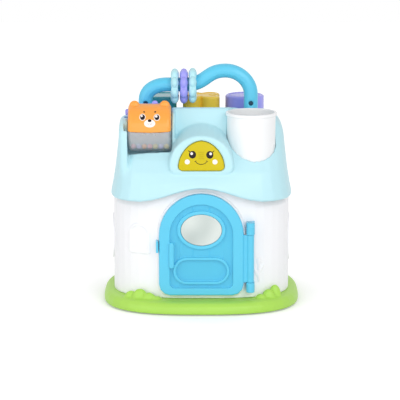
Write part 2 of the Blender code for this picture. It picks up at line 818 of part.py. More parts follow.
def make_front_wall():
    wall = end_panel(270)
    back = SEAT_Y + (WALL_HALF_DEPTH + SEAT_PROUD - wall_y(DOOR_HALF_WIDTH + SEAT_MARGIN)) + WALL_THICKNESS / 2
    join(wall, prism(door_outline(-SEAT_MARGIN), SEAT_Y, back, front))
    join(wall, window_relief(), sprig_relief())
    join(wall, *[post(x, y) for x, y in post_places()[:2]])
    cut(wall, *[post_bore(x, y) for x, y in post_places()[:2]])
    cut(wall, prism(door_outline(DOOR_LAP), SEAT_Y - OVERRUN, back + 2 * OVERRUN, front))
    for z in bracket_middles():
        cut(wall, rod((HINGE_X, z), SCREW_SHANK_RADIUS + GAP, SEAT_Y, bracket_screw_seat() + OVERRUN, front))
    finish(wall, "front_wall", "white")


def sorter_rim(outline, facing, outward, angles):
    # The raised band round a hole, on the wall that the outward direction names.
    reach = WALL_HALF_WIDTH + OVERRUN
    ends = sorted((0, outward * reach))
    band = prism(inset_outline(outline, -SORTER_CLEARANCE - SORTER_RIM), *ends, facing)
    return relief(band, *angles, SORTER_RIM_PROUD)


def sorter_hole(outline, facing, outward):
    ends = sorted((outward * WALL_HALF_DEPTH / 2, outward * (WALL_HALF_WIDTH + OVERRUN)))
    return prism(inset_outline(outline, -SORTER_CLEARANCE), *ends, facing)


def make_side_walls():
    square = rounded_rectangle((0, SORTER_Z), BLOCK_SQUARE_HALF, BLOCK_SQUARE_HALF, BLOCK_SQUARE_CORNER)
    disc = circle((0, SORTER_Z), BLOCK_DISC_RADIUS, ROUND_STEPS)
    for name, outline, middle, outward in (("left_wall", disc, 180, -1), ("right_wall", square, 0, 1)):
        wall = side_panel(middle)
        reach = SEAM_ANGLE - seam_margin()
        angles = (middle - reach, middle + reach, PANEL_STEPS["side"])
        join(wall, sorter_rim(outline, side, outward, angles))
        cut(wall, sorter_hole(outline, side, outward))
        finish(wall, name, "white")


def make_rear_wall():
    wall = end_panel(90)
    reach = 90 - SEAM_ANGLE - seam_margin()
    outline = quatrefoil((0, SORTER_Z), BLOCK_LOBE_OFFSET, BLOCK_LOBE_RADIUS)
    rim = sorter_rim(outline, front, 1, (90 - reach, 90 + reach, PANEL_STEPS["end"]))
    join(wall, rim)
    cut(wall, sorter_hole(outline, front, 1))
    bay = rounded_rectangle((0, BAY_Z), BAY_HALF_WIDTH, BAY_HALF_HEIGHT, BAY_CORNER)
    cut(wall, prism(bay, WALL_HALF_DEPTH - 3 * OVERRUN, WALL_HALF_DEPTH + OVERRUN, front))
    join(wall, *[post(x, y) for x, y in post_places()[2:]])
    cut(wall, *[post_bore(x, y) for x, y in post_places()[2:]])
    finish(wall, "rear_wall", "white")


# Battery bay

def bay_rim_y():
    # The box's rim lies just inside the curved wall at its own half width.
    share = (BAY_HALF_WIDTH + BAY_WALL) / (WALL_HALF_WIDTH - WALL_THICKNESS)
    inner = (WALL_HALF_DEPTH - WALL_THICKNESS) * (1 - share ** WALL_POWER) ** (1 / WALL_POWER)
    return inner - 2 * GAP


def make_battery_bay():
    rim = bay_rim_y()
    floor = rim - BAY_DEPTH
    outline = rounded_rectangle((0, BAY_Z), BAY_HALF_WIDTH + BAY_WALL, BAY_HALF_HEIGHT + BAY_WALL, BAY_CORNER)
    box = prism(outline, floor, rim, front)
    cut(box, prism(inset_outline(outline, BAY_WALL), floor + BAY_WALL, rim + OVERRUN, front))
    boss_x = BAY_HALF_WIDTH - SCREW_HEAD_RADIUS
    cover_back = COVER_INNER_Y - GAP
    boss_end = cover_back - 2 * GAP
    join(box, rod((boss_x, BAY_Z), SCREW_HEAD_RADIUS, floor + BAY_WALL / 2, min(boss_end, rim), front))
    cut(box, rod((boss_x, BAY_Z), SCREW_SHANK_RADIUS + GAP, floor + BAY_WALL, rim + OVERRUN, front))
    finish(box, "battery_box", "white")
    for index, level in enumerate((-1, 1)):
        z = BAY_Z + level * (CELL_RADIUS + GAP)
        left = -BAY_HALF_WIDTH + GAP
        y = floor + BAY_WALL + GAP + CELL_RADIUS
        nub = CELL_RADIUS / 3
        profile = [(CELL_RADIUS, left), (CELL_RADIUS, left + CELL_LENGTH), (nub, left + CELL_LENGTH),
                   (nub, left + CELL_LENGTH + nub)]
        finish(turned((y, z), profile, side, SMALL_STEPS), "battery_%d" % (index + 1), "cell")
    cover_outline = rounded_rectangle((0, BAY_Z), BAY_HALF_WIDTH - GAP, BAY_HALF_HEIGHT - GAP, BAY_CORNER)
    cover = prism(cover_outline, cover_back, BAY_OUTER_Y, front)
    cut(cover, rod((boss_x, BAY_Z), SCREW_SHANK_RADIUS + GAP, cover_back - OVERRUN, BAY_OUTER_Y + OVERRUN, front))
    finish(cover, "battery_cover", "white")
    seat = BAY_OUTER_Y + GAP
    finish(screw((boss_x, BAY_Z), seat, SCREW_LENGTH, -1, front), "battery_cover_screw", "steel", 0.3, 1)


# Roof

def eave_wave(x):
    share = min(abs(x) / WAVE_HALF_WIDTH, 1)
    return WAVE_HEIGHT * (1 + math.cos(math.pi * share)) / 2


def roof_loop(shares, inset=0, waved=True, steps=ROOF_STEPS):
    height_share, width_share, front_share, rear_share, wave_share = shares
    half_width = ROOF_HALF_WIDTH * width_share - inset
    level = EAVE_Z + (RIDGE_Z - EAVE_Z - inset) * height_share
    loop = []
    for step in range(steps):
        x, y = superellipse(half_width, 1, ROOF_POWER, 2 * math.pi * (step + 0.5) / steps)
        y *= ROOF_HALF_DEPTH * (rear_share if y > 0 else front_share) - inset
        lift = eave_wave(x) * wave_share if waved else 0
        loop.append((x, y, level + lift))
    return loop


def dormer_hood():
    outline = dome(DORMER_HALF_WIDTH, DORMER_BOTTOM_Z, DORMER_HEIGHT, DORMER_CORNER, DORMER_POWER)
    loops = []
    for inset, place in reversed(edge_levels(-DORMER_BACK_Y, -DORMER_FRONT_Y, DORMER_EDGE)[1:]):
        loops.append([front(u, v, place) for u, v in inset_outline(outline, inset)])
    reach = DORMER_FRONT_Y - DORMER_EDGE - DORMER_BACK_Y
    for share in (0.35, 0.7, 1.0):
        wide = 1 + DORMER_SPREAD / DORMER_HALF_WIDTH * share
        high = 1 + DORMER_CLIMB / DORMER_HEIGHT * share
        place = -DORMER_FRONT_Y + DORMER_EDGE + reach * share
        loops.append([front(u * wide, DORMER_BOTTOM_Z + (v - DORMER_BOTTOM_Z) * high, place) for u, v in outline])
    return loft(loops)


def drum_cheek(outward, shape):
    # The lug that carries one end of the axle, running back into the roof.
    inner = DRUM_X + outward * DRUM_WELL_HALF
    crest = DRUM_Z + shape["rise"]
    foot = DRUM_Z - DRUM_WELL_RADIUS - shape["drop"]
    outline = []
    for step in range(ARCH_STEPS + 1):
        angle = math.pi * (1 / 2 + step / ARCH_STEPS)
        nose, height = superellipse(shape["reach"] - DRUM_Y, (crest - foot) / 2, CHEEK_POWER, angle)
        outline.append((nose, (crest + foot) / 2 + height))
    levels = edge_levels(inner - outward * GAP, inner + outward * shape["thickness"], shape["edge"])
    return swept(outline, levels, side)


def drum_well():
    ends = (DRUM_X - DRUM_WELL_HALF, DRUM_X + DRUM_WELL_HALF)
    return rod((DRUM_Y, DRUM_Z), DRUM_WELL_RADIUS, *ends, side, FINE_STEPS)


def ear_track():
    # The round groove in the left cheek that the side ear runs in.
    inner = DRUM_X - DRUM_WELL_HALF
    ends = (inner - EAR_TRACK_DEPTH, inner + OVERRUN)
    track = rod((DRUM_Y, DRUM_Z), EAR_TRACK_RADII[1], *ends, side, FINE_STEPS)
    core_ends = (ends[0] - OVERRUN, ends[1] + OVERRUN)
    return cut(track, rod((DRUM_Y, DRUM_Z), EAR_TRACK_RADII[0], *core_ends, side, FINE_STEPS))


def axle_bore():
    reach = DRUM_WELL_HALF + AXLE_BITE + GAP
    return rod((DRUM_Y, DRUM_Z), AXLE_RADIUS + GAP, DRUM_X - reach, DRUM_X + reach, side)


def roof_hollow():
    # The space inside the roof, less what surrounds the wells and the deck.
    loops = [roof_loop(shares, ROOF_SKIN, False, HOLLOW_STEPS) for shares in ROOF_SECTION_SHARES]
    loops[0] = [(x, y, z - 2 * OVERRUN) for x, y, z in loops[0]]
    hollow = loft(loops)
    under = DECK_Z - DECK_SKIN
    beyond = ROOF_HALF_WIDTH + OVERRUN
    cut(hollow, block((-beyond, beyond), (DECK_FRONT_Y - ROOF_SKIN, beyond), (under, RIDGE_Z + OVERRUN)))
    liner_reach = DRUM_WELL_HALF + ROOF_SKIN
    liner_ends = (DRUM_X - liner_reach - EAR_TRACK_DEPTH, DRUM_X + liner_reach)
    cut(hollow, rod((DRUM_Y, DRUM_Z), DRUM_WELL_RADIUS + ROOF_SKIN, *liner_ends, side, ROUND_STEPS))
    cup_liner = CUP_WELL_RADIUS + ROOF_SKIN
    cut(hollow, rod((CUP_X, CUP_Y), cup_liner, CUP_WELL_Z - ROOF_SKIN, RIDGE_Z + OVERRUN, top, ROUND_STEPS))
    return hollow


def button_outline(outset=0):
    outline = dome(BUTTON_HALF_WIDTH, BUTTON_BOTTOM_Z, BUTTON_HEIGHT, BUTTON_CORNER, BUTTON_POWER)
    return inset_outline(outline, -outset)


def module_reach():
    # How far the module's outside stands beyond the button's outline.
    return BUTTON_FLANGE + 2 * GAP + MODULE_WALL


def dormer_hollow():
    # The module's room, and behind it a narrower way into the roof.
    room = prism(button_outline(module_reach() + GAP), DORMER_INNER_Y, MODULE_BACK_Y + GAP, front)
    passage = button_outline(module_reach() - 2 * MODULE_WALL)
    return join(room, prism(passage, MODULE_BACK_Y, -DORMER_BACK_Y - OVERRUN, front))


def deck_space():
    # What is cut away over the block deck. The parapet's top falls gently towards the back.
    crest_y = -ROOF_HALF_DEPTH * ROOF_SECTION_SHARES[-1][2]
    beyond = ROOF_HALF_DEPTH + OVERRUN
    outline = [
        (crest_y, RIDGE_Z),
        (DECK_FRONT_Y, RIDGE_Z - PARAPET_FALL),
        (DECK_FRONT_Y, DECK_Z),
        (beyond, DECK_Z),
        (beyond, RIDGE_Z + OVERRUN),
        (crest_y, RIDGE_Z + OVERRUN),
    ]
    return prism(outline, -ROOF_HALF_WIDTH, ROOF_HALF_WIDTH, side)


def block_outlines():
    square = rounded_rectangle((-BLOCK_X, BLOCK_Y), BLOCK_SQUARE_HALF, BLOCK_SQUARE_HALF, BLOCK_SQUARE_CORNER)
    flower = quatrefoil((0, BLOCK_Y), BLOCK_LOBE_OFFSET, BLOCK_LOBE_RADIUS)
    disc = circle((BLOCK_X, BLOCK_Y), BLOCK_DISC_RADIUS, ROUND_STEPS)
    return {"block_square": square, "block_flower": flower, "block_disc": disc}


def make_roof():
    roof = loft([roof_loop(shares) for shares in ROOF_SECTION_SHARES], fan=True)
    join(roof, dormer_hood())
    join(roof, drum_cheek(-1, LEFT_CHEEK), drum_cheek(1, RIGHT_CHEEK))
    cut(roof, roof_hollow())
    cut(roof, dormer_hollow())
    cut(roof, prism(button_outline(GAP), -DORMER_FRONT_Y - OVERRUN, DORMER_INNER_Y + GAP, front))
    cut(roof, drum_well(), ear_track(), axle_bore())
    cut(roof, rod((CUP_X, CUP_Y), CUP_WELL_RADIUS, CUP_WELL_Z, RIDGE_Z + OVERRUN, top, FINE_STEPS))
    lip_z = CUP_TOP_Z - CUP_LIP_HEIGHT - GAP
    cut(roof, rod((CUP_X, CUP_Y), CUP_WELL_RADIUS + CUP_LIP, lip_z, RIDGE_Z + OVERRUN, top, FINE_STEPS))
    cut(roof, deck_space())
    for outline in block_outlines().values():
        cut(roof, prism(inset_outline(outline, -GAP), NEST_FLOOR_Z, RIDGE_Z, top))
    for x in (LEFT_LEG_X, RIGHT_LEG_X):
        join(roof, rod((x, HANDLE_Y), SPIGOT_RADIUS, DECK_Z - DECK_SKIN / 2, DECK_Z + SPIGOT_HEIGHT, top))
        cut(roof, rod((x, screw_z()), SCREW_SHANK_RADIUS + GAP, HANDLE_Y - HANDLE_RADIUS,
                      HANDLE_Y + SPIGOT_RADIUS - GAP, front))
    finish(roof, "roof_shell", "aqua")


# Dormer module

def module_middle():
    return 0, BUTTON_BOTTOM_Z + BUTTON_HEIGHT / 2


def make_face_button():
    flange_y = BUTTON_BACK_Y - BUTTON_FLANGE_THICKNESS
    shape = swept(button_outline(), edge_levels(flange_y, BUTTON_FRONT_Y, BUTTON_PROUD), front)
    join(shape, prism(button_outline(BUTTON_FLANGE), flange_y, BUTTON_BACK_Y, front))
    finish(shape, "face_button", "yellow", origin=(0, BUTTON_FRONT_Y, module_middle()[1]))


def make_module():
    mouth = DORMER_INNER_Y + GAP
    housing = prism(button_outline(module_reach()), mouth, MODULE_BACK_Y, front)
    room = button_outline(module_reach() - MODULE_WALL)
    cut(housing, prism(room, mouth - OVERRUN, MODULE_BACK_Y - MODULE_WALL, front))
    finish(housing, "module_housing", "white")
    board = prism(button_outline(module_reach() - MODULE_WALL - GAP), BOARD_FRONT_Y, BOARD_BACK_Y, front)
    finish(board, "circuit_board", "board")
    middle = module_middle()
    speaker = turned(middle, [(SPEAKER_RADIUS, BOARD_BACK_Y + GAP),
                              (SPEAKER_RADIUS, SPEAKER_BACK_Y - SPEAKER_THICKNESS / 2),
                              (SPEAKER_RADIUS * 0.8, SPEAKER_BACK_Y)], front)
    finish(speaker, "speaker", "cell")
    tip = BOARD_FRONT_Y - GAP - LED_HEIGHT
    led = turned(middle, [(LED_RADIUS, BOARD_FRONT_Y - GAP), (LED_RADIUS, tip + LED_RADIUS),
                          (LED_RADIUS * 0.7, tip + LED_RADIUS * 0.3), (LED_RADIUS * 0.25, tip)], front, SMALL_STEPS)
    finish(led, "led", "clear")


def make_button_spring():
    middle_z = module_middle()[1]
    first = BUTTON_BACK_Y + GAP + SPRING_WIRE
    last = BOARD_FRONT_Y - GAP - SPRING_WIRE
    count = SPRING_TURNS * SPRING_STEPS
    path = []
    for index in range(count + 1):
        angle = 2 * math.pi * SPRING_TURNS * index / count
        x = SPRING_RADIUS * math.cos(angle)
        z = middle_z + SPRING_RADIUS * math.sin(angle)
        path.append((x, first + (last - first) * index / count, z))
    finish(tube(path, SPRING_WIRE, 6), "button_spring", "steel", 0.3, 1, origin=(0, last, middle_z))


# Handle

def bezier(points, steps):
    # Points along one cubic segment, without its last point.
    placed = []
    for step in range(steps):
        t = step / steps
        weights = ((1 - t) ** 3, 3 * t * (1 - t) ** 2, 3 * t * t * (1 - t), t ** 3)
        placed.append(tuple(sum(w * p[axis] for w, p in zip(weights, points)) for axis in (0, 1)))
    return placed


def handle_path():
    # Places in X and Z, from the left foot over the low arm and the crest to the right foot.
    bend_share = 0.55
    left = (LEFT_LEG_X, LEFT_LEG_TOP_Z)
    arm = (ARM_START_X, ARM_Z)
    left_bend = (
        left,
        (LEFT_LEG_X, LEFT_LEG_TOP_Z + (ARM_Z - LEFT_LEG_TOP_Z) * bend_share),
        (ARM_START_X + (LEFT_LEG_X - ARM_START_X) * bend_share, ARM_Z),
        arm,
    )
    middle_x = (ARM_END_X + CREST_X) / 2
    swell = ((ARM_END_X, ARM_Z), (middle_x, ARM_Z), (middle_x, CREST_Z), (CREST_X, CREST_Z))
    right_bend = (
        (CREST_X, CREST_Z),
        (CREST_X + (RIGHT_LEG_X - CREST_X) * bend_share, CREST_Z),
        (RIGHT_LEG_X, RIGHT_LEG_TOP_Z + (CREST_Z - RIGHT_LEG_TOP_Z) * bend_share),
        (RIGHT_LEG_X, RIGHT_LEG_TOP_Z),
    )
    path = [(LEFT_LEG_X, HANDLE_FOOT_Z)] + bezier(left_bend, 9) + [arm]
    path += bezier(swell, 11) + bezier(right_bend, 11)
    return path + [(RIGHT_LEG_X, RIGHT_LEG_TOP_Z), (RIGHT_LEG_X, HANDLE_FOOT_Z)]


def screw_z():
    return DECK_Z + HANDLE_SCREW_RISE


def make_handle():
    handle = tube([(x, HANDLE_Y, z) for x, z in handle_path()], HANDLE_RADIUS, HANDLE_SIDES)
    front_y = HANDLE_Y - HANDLE_RADIUS
    seat = front_y + SCREW_HEAD_HEIGHT
    for x, name in ((LEFT_LEG_X, "left"), (RIGHT_LEG_X, "right")):
        bore_top = DECK_Z + SPIGOT_HEIGHT + GAP
        cut(handle, rod((x, HANDLE_Y), SPIGOT_RADIUS + GAP, DECK_Z - OVERRUN, bore_top, top))
        cut(handle, rod((x, screw_z()), SCREW_HEAD_RADIUS + GAP, front_y - OVERRUN, seat + GAP, front))
        cut(handle, rod((x, screw_z()), SCREW_SHANK_RADIUS + GAP, front_y, HANDLE_Y, front))
        shank = seat_to_spigot_end(seat)
        finish(screw((x, screw_z()), seat, shank, 1, front), "handle_screw_" + name, "navy", 0.3)
    finish(handle, "handle_tube", "sky")


def seat_to_spigot_end(seat):
    return HANDLE_Y + SPIGOT_RADIUS - 2 * GAP - seat


def make_rings():
    hang = RING_BORE - HANDLE_RADIUS - GAP
    steps = RING_LOBES * 4
    for index, x in enumerate(RING_X):
        loops = []
        for step in range(steps):
            angle = 2 * math.pi * step / steps
            swell = (1 - math.cos(RING_LOBES * angle)) / 2
            outer = RING_OUTER - RING_LOBE_DEPTH * (1 - swell)
            middle = (outer + RING_BORE) / 2
            half = (outer - RING_BORE) / 2
            width = RING_HALF_WIDTH - RING_LOBE_DEPTH * (1 - swell) / 2
            loop = []
            for u, v in superellipse_outline(width, half, 2.4, 8):
                radius = middle + v
                loop.append((u, radius * math.cos(angle), radius * math.sin(angle)))
            loops.append(loop)
        ring = loft(loops, wrapped=True)
        height = path_height(x) - hang
        ring.data.transform(Matrix.Translation((x, HANDLE_Y, height)))
        color = "lilac" if index == 1 else "aqua"
        finish(ring, "ring_%d" % (index + 1), color, origin=(x, HANDLE_Y, height))


def path_height(x):
    path = handle_path()
    for (x0, z0), (x1, z1) in zip(path, path[1:]):
        if x0 <= x <= x1 and x1 > x0:
            return z0 + (z1 - z0) * (x - x0) / (x1 - x0)
    return ARM_Z


# Rattle drum

def drum_shell():
    # The whole hollow drum, before it is parted into its three shells.
    outline = circle((DRUM_Y, DRUM_Z), DRUM_RADIUS, FINE_STEPS)
    ends = (DRUM_X - DRUM_HALF_WIDTH, DRUM_X + DRUM_HALF_WIDTH)
    shell = swept(outline, edge_levels(*ends, DRUM_EDGE, both=True), side)
    inner_ends = (ends[0] + DRUM_WALL, ends[1] - DRUM_WALL)
    inner = inset_outline(outline, DRUM_WALL)
    hollow = swept(inner, edge_levels(*inner_ends, DRUM_EDGE - DRUM_WALL, both=True), side)
    bore = rod((DRUM_Y, DRUM_Z), AXLE_RADIUS + GAP, ends[0] - OVERRUN, ends[1] + OVERRUN, side)
    return cut(shell, join(hollow, bore))


def chin_line(level):
    # The seam between the head and the clear part, lowest in the middle.
    line = []
    for step in range(SMALL_STEPS + 1):
        share = 2 * step / SMALL_STEPS - 1
        line.append((DRUM_X + DRUM_WELL_RADIUS * share, DRUM_Z + level - CHIN_DROP * (1 - share * share)))
    return line


def above_chin(first, last):
    line = chin_line(GAP / 2)
    crown = DRUM_Z + 2 * DRUM_RADIUS
    return prism(line + [(line[-1][0], crown), (line[0][0], crown)], first, last, front)


def below_chin(first, last):
    line = chin_line(-GAP / 2)
    foot = DRUM_Z - 2 * DRUM_RADIUS
    return prism([(line[0][0], foot), (line[-1][0], foot)] + line[::-1], first, last, front)


def drum_core():
    # Keeps ears and tufts out of the hollow of the shell they stand on.
    ends = (DRUM_X - DRUM_WELL_RADIUS, DRUM_X + DRUM_WELL_RADIUS)
    return rod((DRUM_Y, DRUM_Z), DRUM_RADIUS - DRUM_WALL / 2, *ends, side, FINE_STEPS)


def make_drum():
    near = DRUM_Y - 2 * DRUM_RADIUS
    far = DRUM_Y + 2 * DRUM_RADIUS
    split_y = DRUM_Y + DRUM_SPLIT
    axle = (DRUM_X, DRUM_Y, DRUM_Z)

    barrel = keep(drum_shell(), below_chin(near, far))
    finish(barrel, "drum_barrel", "clear", 0.1, 0, 1, origin=axle)

    bear = keep(drum_shell(), above_chin(near, split_y - GAP / 2))
    for outward in (-1, 1):
        center = (DRUM_X + outward * BEAR_EAR_X, DRUM_Y + BEAR_EAR_Y, DRUM_Z + BEAR_EAR_RISE)
        ear = ball(center, (BEAR_EAR_RADIUS, BEAR_EAR_THICKNESS, BEAR_EAR_RADIUS), 16, 8)
        join(bear, cut(ear, drum_core()))
    finish(bear, "drum_front_shell", "orange", origin=axle)

    rear = keep(drum_shell(), above_chin(split_y + GAP / 2, far))
    ear_y = split_y + GAP + SIDE_EAR_RADIUS
    root = DRUM_X - DRUM_HALF_WIDTH + DRUM_WALL
    tip = DRUM_X - DRUM_HALF_WIDTH - SIDE_EAR_REACH
    ear = circle((ear_y, DRUM_Z + SIDE_EAR_RISE), SIDE_EAR_RADIUS, SMALL_STEPS)
    join(rear, swept(ear, edge_levels(root, tip, SIDE_EAR_REACH / 2), side))
    lean = math.radians(TUFT_ANGLE)
    tuft = (
        DRUM_X + TUFT_X,
        DRUM_Y + DRUM_RADIUS * math.sin(lean),
        DRUM_Z + DRUM_RADIUS * math.cos(lean),
    )
    crest = ball(tuft, (TUFT_RADIUS, TUFT_RADIUS / 2, TUFT_RADIUS))
    cut(crest, drum_core(), above_chin(near, split_y + GAP / 2))
    join(rear, crest)
    finish(rear, "drum_rear_shell", "lilac", origin=axle)

    reach = DRUM_WELL_HALF + AXLE_BITE
    shaft = rod((DRUM_Y, DRUM_Z), AXLE_RADIUS, DRUM_X - reach, DRUM_X + reach, side)
    finish(shaft, "drum_axle", "steel", 0.3, 1, origin=axle)


def make_beads():
    level = DRUM_Z - (DRUM_RADIUS - DRUM_WALL - GAP - BEAD_RADIUS)
    colors = ("pink", "lilac", "orange", "pink", "yellow", "lilac", "yellow")
    for index in range(BEAD_COUNT):
        x = DRUM_X + BEAD_PITCH * (index - (BEAD_COUNT - 1) / 2)
        bead = ball((x, DRUM_Y, level), (BEAD_RADIUS,) * 3)
        finish(bead, "bead_%d" % (index + 1), colors[index % len(colors)], origin=(DRUM_X, DRUM_Y, DRUM_Z))


# Cup

def make_cup():
    rim = CUP_RADIUS + CUP_LIP
    lip_z = CUP_TOP_Z - CUP_LIP_HEIGHT
    edge = CUP_WALL / 4
    profile = [
        (CUP_RADIUS - CUP_FOOT_ROUND, CUP_BOTTOM_Z),
        (CUP_RADIUS - CUP_FOOT_ROUND * 0.3, CUP_BOTTOM_Z + CUP_FOOT_ROUND * 0.3),
        (CUP_RADIUS, CUP_BOTTOM_Z + CUP_FOOT_ROUND),
        (CUP_RADIUS, lip_z),
        (rim - edge, lip_z),
        (rim, lip_z + edge),
        (rim, CUP_TOP_Z - edge),
        (rim - edge, CUP_TOP_Z),
        (CUP_RADIUS - CUP_WALL + edge, CUP_TOP_Z),
        (CUP_RADIUS - CUP_WALL, CUP_TOP_Z - edge),
        (CUP_RADIUS - CUP_WALL, CUP_BOTTOM_Z + CUP_WALL + CUP_FOOT_ROUND),
        (CUP_RADIUS - CUP_WALL - CUP_FOOT_ROUND, CUP_BOTTOM_Z + CUP_WALL),
    ]
    finish(turned((CUP_X, CUP_Y), profile, top, FINE_STEPS), "cup", "white")


# Door

def door_recess_outline(inset=0):
    outline = arch(0, DOOR_HALF_WIDTH - DOOR_BAND, DOOR_BOTTOM_Z + DOOR_BAND_FOOT, DOOR_SPRING_Z,
                   DOOR_CORNER - DOOR_BAND_FOOT + DOOR_EDGE)
    return inset_outline(outline, inset)


def plank_grooves():
    half = DOOR_HALF_WIDTH - DOOR_BAND
    grooves = []
    for share in (-0.67, -0.26, 0.26, 0.67):
        x = half * share
        crown = DOOR_SPRING_Z + math.sqrt(half ** 2 - (abs(x) + PLANK_GROOVE) ** 2) - PLANK_GROOVE
        foot = DOOR_BOTTOM_Z + DOOR_BAND_FOOT + PLANK_GROOVE
        grooves.append(block((x - PLANK_GROOVE / 2, x + PLANK_GROOVE / 2),
                             (DOOR_FLOOR_Y - DOOR_SINK / 2, DOOR_FLOOR_Y + PLANK_GROOVE_DEPTH), (foot, crown)))
    return grooves


def raised_ring(outline, ring, sink):
    # A pad up to the door's face, with its middle sunk again.
    shape = swept(outline, edge_levels(DOOR_FLOOR_Y + DOOR_SINK / 2, DOOR_FRONT_Y, ring / 5), front)
    return shape, prism(inset_outline(outline, ring), DOOR_FRONT_Y - OVERRUN, DOOR_FRONT_Y + sink, front)


def make_door():
    leaf = swept(door_outline(), edge_levels(DOOR_BACK_Y, DOOR_FRONT_Y, DOOR_EDGE), front)
    cut(leaf, prism(door_recess_outline(), DOOR_FRONT_Y - OVERRUN, DOOR_FLOOR_Y, front))
    cut(leaf, *plank_grooves())
    oval = ellipse((0, MIRROR_Z), MIRROR_HALF_WIDTH + MIRROR_RING, MIRROR_HALF_HEIGHT + MIRROR_RING,
                   FINE_STEPS)
    for outline, ring, sink in (
        (oval, MIRROR_RING, mirror_back() + GAP - DOOR_FRONT_Y),
        (stadium((0, PANEL_Z), PANEL_HALF_WIDTH, PANEL_HALF_HEIGHT), PANEL_RING, DOOR_SINK + PLANK_GROOVE_DEPTH),
    ):
        pad, middle = raised_ring(outline, ring, sink)
        join(leaf, pad)
        cut(leaf, middle)
    pull_middle = (PULL_X, (PULL_BOTTOM_Z + PULL_TOP_Z) / 2)
    pull = rounded_rectangle(pull_middle, PULL_HALF_WIDTH, (PULL_TOP_Z - PULL_BOTTOM_Z) / 2, PULL_HALF_WIDTH * 0.95)
    levels = edge_levels(DOOR_FLOOR_Y + DOOR_SINK / 2, DOOR_FRONT_Y - PULL_PROUD, PULL_HALF_WIDTH / 2)
    join(leaf, swept(pull, levels, front))
    low = LOWER_KNUCKLE_Z[1] + GAP
    high = UPPER_KNUCKLE_Z[0] - GAP
    web_y = (HINGE_Y - HINGE_WEB / 2, HINGE_Y + HINGE_WEB / 2)
    join(leaf, block((DOOR_HALF_WIDTH - DOOR_EDGE * 1.2, HINGE_X), web_y, (low, high)))
    join(leaf, rod((HINGE_X, HINGE_Y), BARREL_RADIUS, low, high, top, 24))
    cut(leaf, rod((HINGE_X, HINGE_Y), PIN_RADIUS + GAP, low - OVERRUN, high + OVERRUN, top))
    finish(leaf, "door", "sky", origin=(HINGE_X, HINGE_Y, DOOR_BOTTOM_Z))


def mirror_back():
    return DOOR_FRONT_Y + MIRROR_SINK + MIRROR_THICKNESS


def make_mirror():
    outline = ellipse((0, MIRROR_Z), MIRROR_HALF_WIDTH - GAP, MIRROR_HALF_HEIGHT - GAP, FINE_STEPS)
    levels = edge_levels(mirror_back(), DOOR_FRONT_Y + MIRROR_SINK, MIRROR_THICKNESS / 5)
    finish(swept(outline, levels, front), "door_mirror", "mirror", 0.05, 1,
           origin=(HINGE_X, HINGE_Y, DOOR_BOTTOM_Z))


def bracket_middles():
    return [sum(LOWER_KNUCKLE_Z) / 2, sum(UPPER_KNUCKLE_Z) / 2]


def make_hinge_brackets():
    back = -wall_y(HINGE_X + KNUCKLE_RADIUS) + WALL_THICKNESS
    outline = [(HINGE_X + KNUCKLE_RADIUS, back), (HINGE_X - KNUCKLE_RADIUS, back)]
    outline += arc((HINGE_X, HINGE_Y), KNUCKLE_RADIUS, 180, 360, SMALL_STEPS)
    for name, (low, high), blind_end in (("lower", LOWER_KNUCKLE_Z, 0), ("upper", UPPER_KNUCKLE_Z, 1)):
        bracket = swept(outline, edge_levels(low, high, KNUCKLE_RADIUS / 6, both=True), top)
        cut(bracket, wall_cutter())
        bore = (low + PIN_END_MARGIN, high + OVERRUN) if blind_end == 0 else (low - OVERRUN, high - PIN_END_MARGIN)
        cut(bracket, rod((HINGE_X, HINGE_Y), PIN_RADIUS + GAP, *bore, top))
        z = (low + high) / 2
        pilot_end = HINGE_Y + PIN_RADIUS + 4 * GAP
        cut(bracket, rod((HINGE_X, z), SCREW_SHANK_RADIUS + GAP, pilot_end, back + OVERRUN, front))
        finish(bracket, "hinge_bracket_" + name, "sky")
        inner = bracket_screw_seat()
        length = inner - pilot_end - GAP
        shape = screw((HINGE_X, z), inner, length, -1, front)
        finish(shape, "bracket_screw_" + name, "steel", 0.3, 1)


def bracket_screw_seat():
    # The inside of the wall at the head's inner rim, where the curved wall stands furthest in.
    share = (HINGE_X + SCREW_HEAD_RADIUS) / (WALL_HALF_WIDTH - WALL_THICKNESS)
    inner = (WALL_HALF_DEPTH - WALL_THICKNESS) * (1 - share ** WALL_POWER) ** (1 / WALL_POWER)
    return -inner + 2 * GAP


def make_hinge_pin():
    ends = (LOWER_KNUCKLE_Z[0] + PIN_END_MARGIN + GAP, UPPER_KNUCKLE_Z[1] - PIN_END_MARGIN - GAP)
    finish(rod((HINGE_X, HINGE_Y), PIN_RADIUS, *ends, top), "hinge_pin", "steel", 0.3, 1)


def make_latch():
    edge = -DOOR_HALF_WIDTH - RUNNING_GAP
    back = -wall_y(DOOR_HALF_WIDTH + LATCH_WIDTH) + WALL_THICKNESS
    outline = rectangle(edge - LATCH_WIDTH, edge, *LATCH_Z)
    levels = edge_levels(back, DOOR_FRONT_Y - LATCH_PROUD, LATCH_WIDTH / 5)
    catch = swept(outline, levels, front)
    cut(catch, wall_cutter())
    cut(catch, prism(door_outline(-SEAT_MARGIN - GAP), SEAT_Y - GAP, 0, front))
    finish(catch, "latch_catch", "sky")


# Blocks

def make_blocks():
    colors = {"block_square": "teal", "block_flower": "yellow", "block_disc": "lilac"}
    low = NEST_FLOOR_Z + GAP
    for name, outline in block_outlines().items():
        levels = edge_levels(low, low + BLOCK_HEIGHT, BLOCK_ROUND, both=True)
        shape = swept(outline, levels, top)
        x = sum(u for u, v in outline) / len(outline)
        finish(shape, name, colors[name], origin=(x, BLOCK_Y, low))


